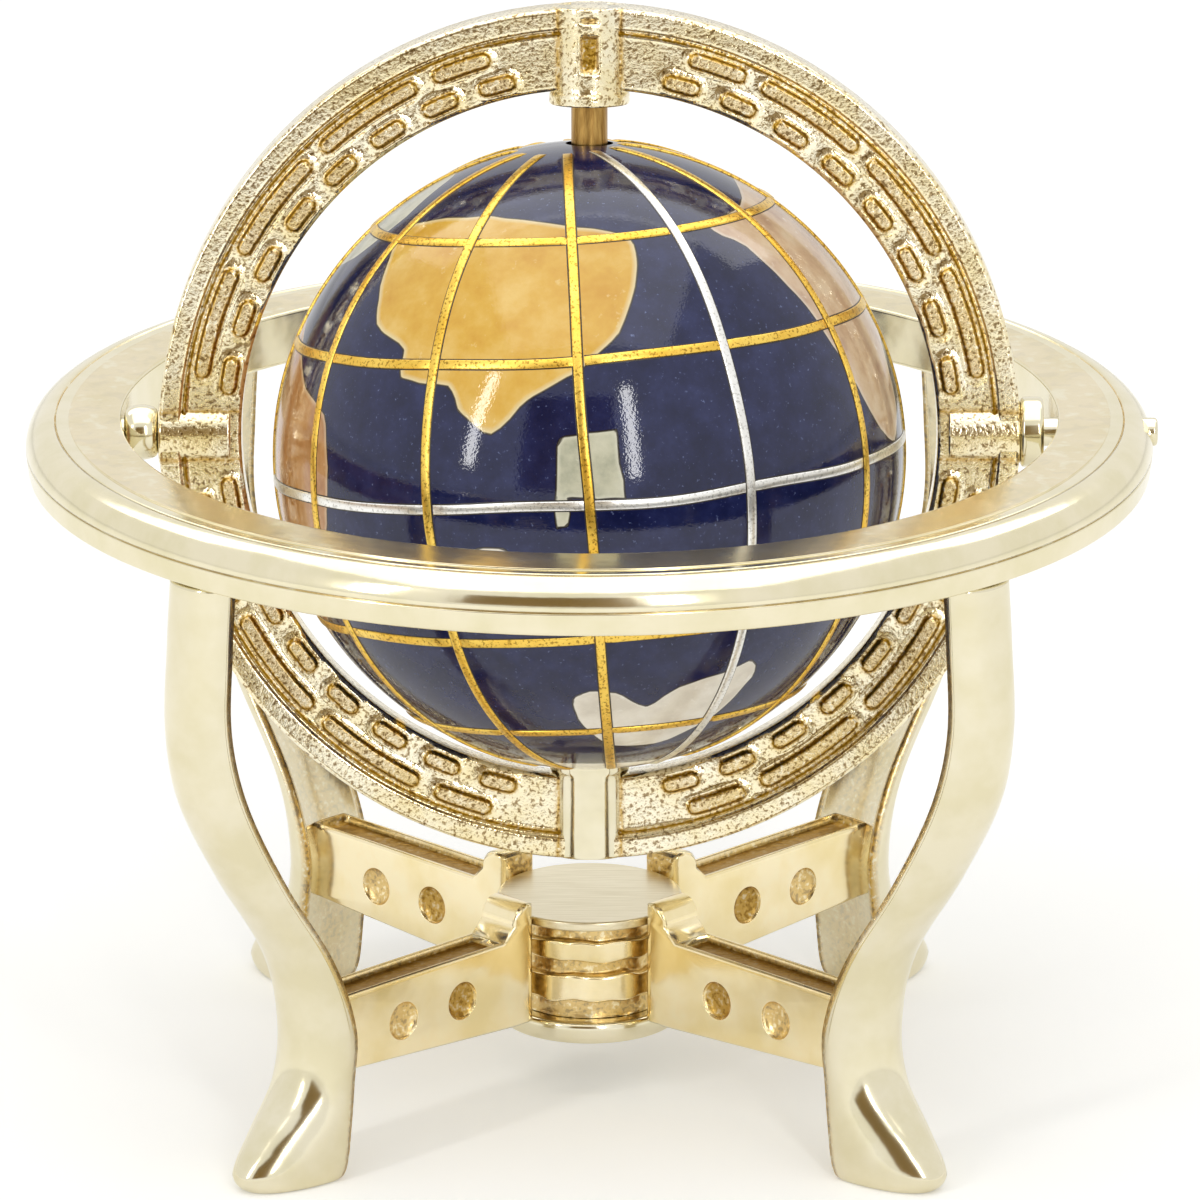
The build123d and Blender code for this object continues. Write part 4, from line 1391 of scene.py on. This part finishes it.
@dataclass
class Legs:
    """Four cast scroll legs, round in front and hollow behind.

    Each station holds a share of the height and, there, the sway, the thickness, the width and the hollow.
    """

    finishes: Finishes
    height: float = 34.05
    ankle: float = 19.3
    sway: float = 7.9
    side: float = 0.5
    sole: float = 0.3
    sole_shares: tuple[float, ...] = (0.0012, 0.003, 0.006, 0.01)
    first_level: float = 0.015
    levels: int = 110
    front_points: int = 29
    back_points: int = 13
    back_share: float = 0.93
    # Painted shade along both edges of the back, a little across it and more down the middle of the hollow
    edge_brown: float = 0.9
    back_brown: float = 0.1
    hollow_brown: float = 0.25
    stations: tuple[tuple[float, ...], ...] = (
        (0.000, 0.115, 5.0, 4.4, 0.10), (0.025, 0.090, 5.7, 4.8, 0.10), (0.075, 0.063, 4.7, 4.9, 0.15),
        (0.147, 0.025, 2.9, 4.8, 0.25), (0.235, 0.000, 2.6, 4.8, 0.35), (0.352, 0.180, 2.0, 4.6, 0.45),
        (0.500, 0.595, 2.1, 4.4, 0.50), (0.646, 0.925, 2.3, 4.2, 0.50), (0.764, 1.050, 2.1, 4.0, 0.45),
        (0.896, 1.035, 1.95, 4.0, 0.30), (1.000, 1.000, 1.95, 4.0, 0.10))

    def section(self, share: float) -> list[Point2]:
        """Section of the leg.

        Args:
            share: share of the leg's height.

        Returns:
            Points as (outwards, sideways), first across the back and then round the front.
        """
        sway, thickness, width, hollow = curve_through(self.stations, share)
        back = self.ankle + sway * self.sway
        points = [(back + hollow * (1 - t * t), t * width / 2 * self.back_share)
                  for t in np.linspace(1, -1, self.back_points)]
        points += [(back + self.side + (thickness - self.side) * math.cos(a), width / 2 * math.sin(a))
                   for a in np.linspace(-math.pi / 2, math.pi / 2, self.front_points)]
        return points

    def outline(self, share: float) -> list[Point2]:
        """Section of the leg, drawn in where the sole is rounded.

        Args:
            share: share of the leg's height.

        Returns:
            Points as (outwards, sideways).
        """
        points = [Vector(point) for point in self.section(share)]
        cut = max(0.0, self.sole - share * self.height)
        inset = self.sole - math.sqrt(self.sole ** 2 - cut ** 2)
        middle = sum(points, Vector((0, 0))) / len(points)
        return [tuple(point - (point - middle).normalized() * inset) for point in points]

    def back_painted_shade(self) -> list[float]:
        """How much painted shade the leg gets across its back.

        Returns:
            A value for each point of the back, most at both edges and some in the middle of the hollow.
        """
        across = np.linspace(-1, 1, self.back_points)
        tints = self.back_brown + (self.hollow_brown - self.back_brown) * (1 - across ** 2) ** 3
        return [self.edge_brown, *tints[1:-1].tolist(), self.edge_brown]

    def build(self) -> None:
        """Extrude each leg level by level from the table to the ring."""
        shares = [*self.sole_shares, *np.linspace(self.first_level, 1.0, self.levels)]
        for name, angle in LEG_ANGLES.items():
            shape = bmesh.new()
            painted_darkening = shape.verts.layers.float.new("painted_darkening")
            ring = [shape.verts.new((x, y, 0.0)) for x, y in self.outline(0.0)]
            shape.faces.new(ring)
            for share in shares:
                edges = [shape.edges.get(pair) for pair in zip(ring, ring[1:] + ring[:1])]
                fresh = set(bmesh.ops.extrude_edge_only(shape, edges=edges)["geom"])
                ring = [next(e.other_vert(v) for e in v.link_edges if e.other_vert(v) in fresh)
                        for v in ring]
                for vert, (x, y) in zip(ring, self.outline(share)):
                    vert.co = (x, y, share * self.height)
                # Painted shade across the back of each level
                for vert, tint in zip(ring, self.back_painted_shade()):
                    vert[painted_darkening] = tint
            shape.faces.new(ring)
            bmesh.ops.recalc_face_normals(shape, faces=shape.faces)
            moved(shape, Matrix.Rotation(math.radians(angle), 4, "Z"))
            add_piece(f"leg_{name}_cast", shape, self.finishes.polished, Body.STAND, Slot.POLISHED_GOLD,
                      f"leg_{name}")


@dataclass
class Stretchers:
    """Four flat bars from the hub to the legs."""

    finishes: Finishes
    half: float = 1.3
    top: float = 9.6
    hub_depth: float = 4.9
    leg_depth: float = 4.1
    bar_end: float = 20.0
    bevel: float = 0.18
    post_inner: float = 4.96
    post_width: float = 1.95
    post_top: float = 11.4
    post_points: int = 13
    post_round: float = 1.1
    post_cuts: tuple[float, ...] = (5.05, 5.6, 5.85)
    shoulder: float = 0.7
    channel_half: float = 1.0
    channel_steps: tuple[Point2, ...] = ((0.02, 0.03), (0.06, 0.4))
    # Depths below the top between which the channel gets painted shade
    channel_zone: Point2 = (0.5, 0.02)
    level_normal: float = 0.99
    level_slack: float = 1e-3
    middle_half: float = 0.1
    dimple_radius: float = 1.05
    dimple_height: float = 7.2
    dimple_places: tuple[float, ...] = (10.7, 15.0)
    # Painted shade in each dimple
    dimple_browns: tuple[float, ...] = (0.95, 0.7)
    dimple_steps: tuple[Point2, ...] = ((0.03, 0.03), (0.06, 0.2), (0.25, 0.1), (0.35, 0.06))
    dimple_points: int = 36
    dimple_lip: float = 0.05
    # Where the bar meets the hub and the leg; beyond these it gets painted shade
    seams: Point2 = (5.4, 19.1)
    seam: float = 0.14
    seam_brown: float = 0.8

    def outline(self) -> list[Point2]:
        """Side view of a bar.

        Returns:
            Points as (outwards, up), anticlockwise.
        """
        outer, radius = self.post_inner + self.post_width, self.post_width / 2
        middle, level = self.post_inner + radius, self.post_top - radius
        cap = [(middle + radius * math.cos(a), level + radius * math.sin(a))
               for a in np.linspace(0, math.pi, self.post_points)]
        corners = [(self.post_inner, self.top - self.hub_depth), (outer, self.top - self.hub_depth),
                   (self.bar_end, self.top - self.leg_depth), (self.bar_end, self.top),
                   (outer + self.shoulder, self.top), (outer, self.top + self.shoulder)]
        return corners + cap

    def side_plate(self, shape: bmesh.types.BMesh, turn: int) -> list[bmesh.types.BMEdge]:
        """Fill one side of a bar round its dimples and sink the dimples.

        Args:
            shape: bar being built.
            turn: 1 or -1 for the two sides.

        Returns:
            The edges round the plate.
        """
        outline = self.outline()
        rim = []
        for i, point in enumerate(outline):
            here = Vector(point)
            one = (here - Vector(outline[i - 1])).normalized()
            two = (Vector(outline[(i + 1) % len(outline)]) - here).normalized()
            spot = here + Vector((-one.y - two.y, one.x + two.x)).normalized() * self.bevel
            rim.append(shape.verts.new((spot.x, turn * self.half, spot.y)))
        border = [shape.edges.new(pair) for pair in zip(rim, rim[1:] + rim[:1])]
        edges = border[:]
        dimples = []
        for reach in self.dimple_places:
            place = Matrix.Translation((reach, turn * self.half, self.dimple_height))
            circle = bmesh.ops.create_circle(
                shape, segments=self.dimple_points, radius=self.dimple_radius,
                matrix=place @ Matrix.Rotation(turn * math.pi / -2, 4, "X"),
            )["verts"]
            edges += list({e for v in circle for e in v.link_edges})
            dimples.append(circle)
        bmesh.ops.triangle_fill(shape, edges=edges, use_beauty=True, use_dissolve=False)
        faces = [shape.faces.new(circle) for circle in dimples]
        for face in faces:
            face.normal_update()
            if face.normal.y * turn < 0:
                face.normal_flip()
        for thickness, depth in self.dimple_steps:
            bmesh.ops.inset_individual(shape, faces=faces, thickness=thickness, depth=-depth)
        return border

    def brown(self, co: Vector) -> float:
        """How much painted shade a bar gets: in its channel and dimples, and beside the hub and the leg.

        Args:
            co: place of a vertex.

        Returns:
            A value from 0 to 1.
        """
        deep, shallow = self.channel_zone
        if abs(co.y) < self.channel_half and self.top - deep < co.z < self.top - shallow:
            return 1.0
        if abs(co.y) < self.half - self.dimple_lip:
            for reach, tint in zip(self.dimple_places, self.dimple_browns):
                if math.hypot(co.x - reach, co.z - self.dimple_height) < self.dimple_radius:
                    return tint
        low, high = self.seams
        return self.seam_brown if co.x > high + self.seam or co.x < low - self.seam else 0.0

    def sink_channel(self, shape: bmesh.types.BMesh) -> None:
        """Sink the channel into the top of a bar.

        Args:
            shape: bar being built.
        """
        top = []
        for face in shape.faces:
            centre = face.calc_center_median()
            level = face.normal.z > self.level_normal and abs(centre.z - self.top) < self.level_slack
            if level and abs(centre.y) < self.middle_half:
                top.append(face)
        bmesh.ops.inset_individual(shape, faces=top, thickness=self.half - self.bevel - self.channel_half)
        for thickness, depth in self.channel_steps:
            bmesh.ops.inset_individual(shape, faces=top, thickness=thickness, depth=-depth)

    def build(self) -> None:
        """Build each bar from its two sides, sink its channel, round its inner end and paint shade into its
        recesses.
        """
        outline = self.outline()
        low, high = self.seams
        for name, angle in LEG_ANGLES.items():
            shape = bmesh.new()
            rows = [self.side_plate(shape, -1)]
            for place in (self.bevel - self.half, self.half - self.bevel):
                verts = [shape.verts.new((p[0], place, p[1])) for p in outline]
                rows.append([shape.edges.new(pair) for pair in zip(verts, verts[1:] + verts[:1])])
            rows.append(self.side_plate(shape, 1))
            for one, two in zip(rows, rows[1:]):
                bmesh.ops.bridge_loops(shape, edges=one + two)
            bmesh.ops.recalc_face_normals(shape, faces=shape.faces)
            self.sink_channel(shape)
            for place in (*self.post_cuts, low - self.seam, low, high, high + self.seam):
                bmesh.ops.bisect_plane(shape, geom=everything(shape), plane_co=(place, 0, 0),
                                       plane_no=(1, 0, 0))
            for vert in shape.verts:
                short = min(self.post_round, max(0.0, self.post_inner + self.post_round - vert.co.x))
                wide = self.half - self.post_round + math.sqrt(self.post_round ** 2 - short ** 2)
                vert.co.y = max(-wide, min(wide, vert.co.y))
            paint_darkening(shape, self.brown)
            moved(shape, Matrix.Rotation(math.radians(angle), 4, "Z"))
            # The bars' gold is painted yellower, as bounce light
            add_piece(f"stretcher_{name}_bar", shape, self.finishes.bar, Body.STAND, Slot.POLISHED_GOLD,
                      f"stretcher_{name}")


@dataclass
class Hub:
    """The turned hub that the stretchers meet at; each band of its spool has a height and may stand out."""

    finishes: Finishes
    screw: bpy.types.Object
    radius: float = 4.9
    bottom: float = 3.4
    flange: float = 1.2
    flange_round: float = 0.4
    flange_parts: int = 6
    band: float = 4.6
    groove: float = 4.1
    bands: tuple[tuple[float, bool], ...] = (
        (1.05, False), (1.45, True), (0.8, False), (1.05, True), (0.8, False))
    band_round: float = 0.18
    # Painted shade: a little over the whole spool and more in its grooves, starting and fading by these radii
    ridge_brown: float = 0.05
    groove_brown: float = 0.6
    brown_start: float = 0.1
    brown_fade: float = 0.3
    wander: float = 0.22
    wander_pitch: float = 0.7
    wander_margin: float = 0.1
    cap: float = 0.5
    cap_round: float = 0.14
    steps: int = 128

    def disc(self, low: float, high: float, edge: float, parts: int = 4) -> bmesh.types.BMesh:
        """Turn a disc of the hub's radius.

        Args:
            low: height of its lower face.
            high: height of its upper face.
            edge: rounding of its edges.
            parts: segments of that rounding.

        Returns:
            The disc.
        """
        profile = [(0.0, low), (self.radius, low), (self.radius, high), (0.0, high)]
        return turned(soften(profile, edge, parts), self.steps, False)

    def spool(self, low: float, high: float) -> bmesh.types.BMesh:
        """Turn the spool, paint shade into its grooves and make its bands uneven, as hand-filed ones are.

        Args:
            low: height of its lower end.
            high: height of its upper end.

        Returns:
            The spool.
        """
        profile: list[Point2] = [(0.0, low)]
        rise = low
        for height, stands_out in self.bands:
            reach = self.band if stands_out else self.groove
            profile += [(reach, rise), (reach, rise + height)]
            rise += height
        profile.append((0.0, high))
        spool = turned(soften(profile, self.band_round), self.steps, False)
        start = self.band - self.brown_start
        # Painted shade, deepest in the grooves
        paint_darkening(spool, lambda co: self.ridge_brown + self.groove_brown * ease(
            (start - math.hypot(co.x, co.y)) / self.brown_fade))
        for vert in spool.verts:
            if low + self.wander_margin < vert.co.z < high - self.wander_margin:
                vert.co.z += self.wander * value_noise(vert.co * self.wander_pitch)
                vert.co.xy *= 1 - self.wander / self.band * (0.5 + 0.5 * value_noise(vert.co))
        return spool

    def build(self) -> None:
        """Turn the flange, the spool and the cap, and dress the hidden screw."""
        low = self.bottom + self.flange
        high = low + sum(height for height, _ in self.bands)
        flange = self.disc(self.bottom, low, self.flange_round, self.flange_parts)
        for name, shape, finish, slot, node in (
                ("hub_flange_turned", flange, self.finishes.polished, Slot.POLISHED_GOLD, "hub_flange"),
                # The spool's gold is painted yellower, as bounce light
                ("hub_spool_turned", self.spool(low, high), self.finishes.bar, Slot.POLISHED_GOLD,
                 "hub_spool"),
                ("hub_cap_disc", self.disc(high, high + self.cap, self.cap_round), self.finishes.brushed,
                 Slot.BRUSHED_GOLD, "hub_cap")):
            add_piece(name, shape, finish, Body.STAND, slot, node)
        self.screw.data.materials.clear()
        self.screw.data.materials.append(self.finishes.steel)


# Studio, in metres


@dataclass(frozen=True)
class Softbox:
    """A rectangular lamp: place and sides, and radiance, where 1 is a white wall."""

    name: str
    place: tuple[float, float, float]
    width: float
    height: float
    radiance: float
    mirror_only: bool = False


@dataclass
class Studio:
    """Floor, light and camera."""

    distance: float = 600.0
    elevation: float = 17.0
    pixels_per_mm: float = 19.09
    centre_pixel: Point2 = (589.0, 432.0)
    sensor_mm: float = 36.0
    view_end: float = 50.0
    floor_half: float = 4.0
    floor_colour: str = "#FAFAF8"
    floor_roughness: float = 0.9
    floor_glow: float = 0.2
    room: float = 0.56
    softboxes: tuple[Softbox, ...] = (
        Softbox("overhead", (0.0, -0.05, 0.75), 0.8, 0.8, 1.1),
        Softbox("behind", (0.0, 0.52, 0.74), 1.4, 0.4, 1.6, True),
        Softbox("strip_left", (-0.5, -0.5, 0.36), 0.05, 0.45, 14.0),
        Softbox("strip_right", (0.2, -0.68, 0.36), 0.05, 0.45, 14.0),
    )
    card: Plain = Plain("brown_paper", "#8A7040", 0.9)
    card_left: float = -0.36
    card_right: float = 0.13
    card_low: float = 0.08
    card_high: float = 0.62
    card_distance: float = 0.74

    @staticmethod
    def seen(tree: bpy.types.NodeTree) -> bpy.types.NodeSocket:
        """Find the rays that show a surface to the camera, straight, in a mirror or through glass.

        Args:
            tree: node tree to add to.

        Returns:
            Socket that is 1 for such rays.
        """
        rays = add_node(tree, "ShaderNodeLightPath").outputs
        result = rays["Is Camera Ray"]
        for name in ("Is Glossy Ray", "Is Transmission Ray"):
            result = add_node(tree, "ShaderNodeMath", {0: result, 1: rays[name]},
                              operation="MAXIMUM").outputs[0]
        return result

    def build_world(self) -> None:
        """Even soft light from a white room."""
        world = bpy.data.worlds.new("white_room")
        world.use_nodes = True
        tree = world.node_tree
        tree.nodes.clear()
        soft, white = (
            add_node(tree, "ShaderNodeBackground", {"Color": (1, 1, 1, 1), "Strength": strength}).outputs[0]
            for strength in (self.room, 1.0))
        both = add_node(tree, "ShaderNodeMixShader", {0: self.seen(tree), 1: soft, 2: white})
        add_node(tree, "ShaderNodeOutputWorld", {"Surface": both.outputs[0]})
        bpy.context.scene.world = world

    def build_floor(self) -> None:
        """Lay a wide floor of matt white paper, which glows a little where it is seen."""
        shape = bmesh.new()
        bmesh.ops.create_grid(shape, x_segments=1, y_segments=1, size=self.floor_half / MM)
        material, tree, shader = start_material("floor_paper")
        glow = add_node(tree, "ShaderNodeMath", {0: self.seen(tree), 1: self.floor_glow},
                        operation="MULTIPLY")
        feed(tree, shader, {
            "Base Color": linear(self.floor_colour), "Roughness": self.floor_roughness,
            "Specular IOR Level": 0.0, "Emission Color": (1, 1, 1, 1), "Emission Strength": glow.outputs[0]})
        make_object("floor", shape, material)

    def build_card(self) -> None:
        """Stand a dark card behind the camera, which only shows as a reflection in metal and lacquer."""
        shape = bmesh.new()
        bmesh.ops.create_grid(shape, x_segments=1, y_segments=1, size=0.5 / MM)
        wide, tall = self.card_right - self.card_left, self.card_high - self.card_low
        centre = Vector((self.card_left + wide / 2, -self.card_distance, self.card_low + tall / 2)) / MM
        moved(shape, Matrix.Translation(centre) @ Matrix.Rotation(math.pi / 2, 4, "X")
              @ Matrix.Diagonal((wide, tall, 1.0, 1.0)))
        card = make_object("dark_card", shape, self.card.build())
        card.visible_camera = False
        card.visible_diffuse = False
        card.visible_shadow = False

    def add_light(self, box: Softbox) -> None:
        """Hang a soft light that faces the gimbal.

        Args:
            box: the lamp.
        """
        data = bpy.data.lights.new(box.name, "AREA")
        data.shape = "RECTANGLE"
        data.size = box.width
        data.size_y = box.height
        data.energy = math.pi * box.width * box.height * box.radiance
        lamp = bpy.data.objects.new(box.name, data)
        lamp.location = box.place
        lamp.visible_camera = False
        lamp.visible_diffuse = not box.mirror_only
        aim = GIMBAL_CENTRE * MM - Vector(box.place)
        lamp.rotation_euler = aim.to_track_quat("-Z", "Y").to_euler()
        bpy.context.scene.collection.objects.link(lamp)

    def build_camera(self) -> None:
        """Stand where the photographer stood."""
        tilt = math.radians(self.elevation)
        towards = Vector((0, -math.cos(tilt), math.sin(tilt)))
        focal_pixels = self.pixels_per_mm * self.distance
        half = PHOTO_PIXELS / 2
        pan = math.atan((self.centre_pixel[0] - half) / focal_pixels)
        dip = math.atan((half - self.centre_pixel[1]) / focal_pixels)
        data = bpy.data.cameras.new("photo_camera")
        data.sensor_width = self.sensor_mm
        data.lens = focal_pixels / PHOTO_PIXELS * self.sensor_mm
        data.clip_end = self.view_end
        camera = bpy.data.objects.new("photo_camera", data)
        camera.location = (GIMBAL_CENTRE + towards * self.distance) * MM
        camera.rotation_euler = (math.pi / 2 - tilt - dip, 0.0, pan)
        bpy.context.scene.collection.objects.link(camera)
        bpy.context.scene.camera = camera

    def build(self) -> None:
        """Set up the whole studio."""
        self.build_world()
        self.build_floor()
        self.build_card()
        for box in self.softboxes:
            self.add_light(box)
        self.build_camera()
        bpy.context.scene.view_settings.view_transform = "Standard"


def main() -> None:
    """Build the scene piece by piece."""
    logging.basicConfig(level=logging.INFO)
    for item in list(bpy.data.objects):
        bpy.data.objects.remove(item)
    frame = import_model()
    finishes = Finishes()
    hub = Hub(finishes, frame["nodes"]["hub_screw"])
    for part in (HorizonRing(finishes), Legs(finishes), Stretchers(finishes), hub, MeridianRing(finishes),
                 Ball(finishes)):
        part.build()
        LOG.info("built %s", type(part).__name__)
    Studio().build()


if __name__ == "__main__":
    main()
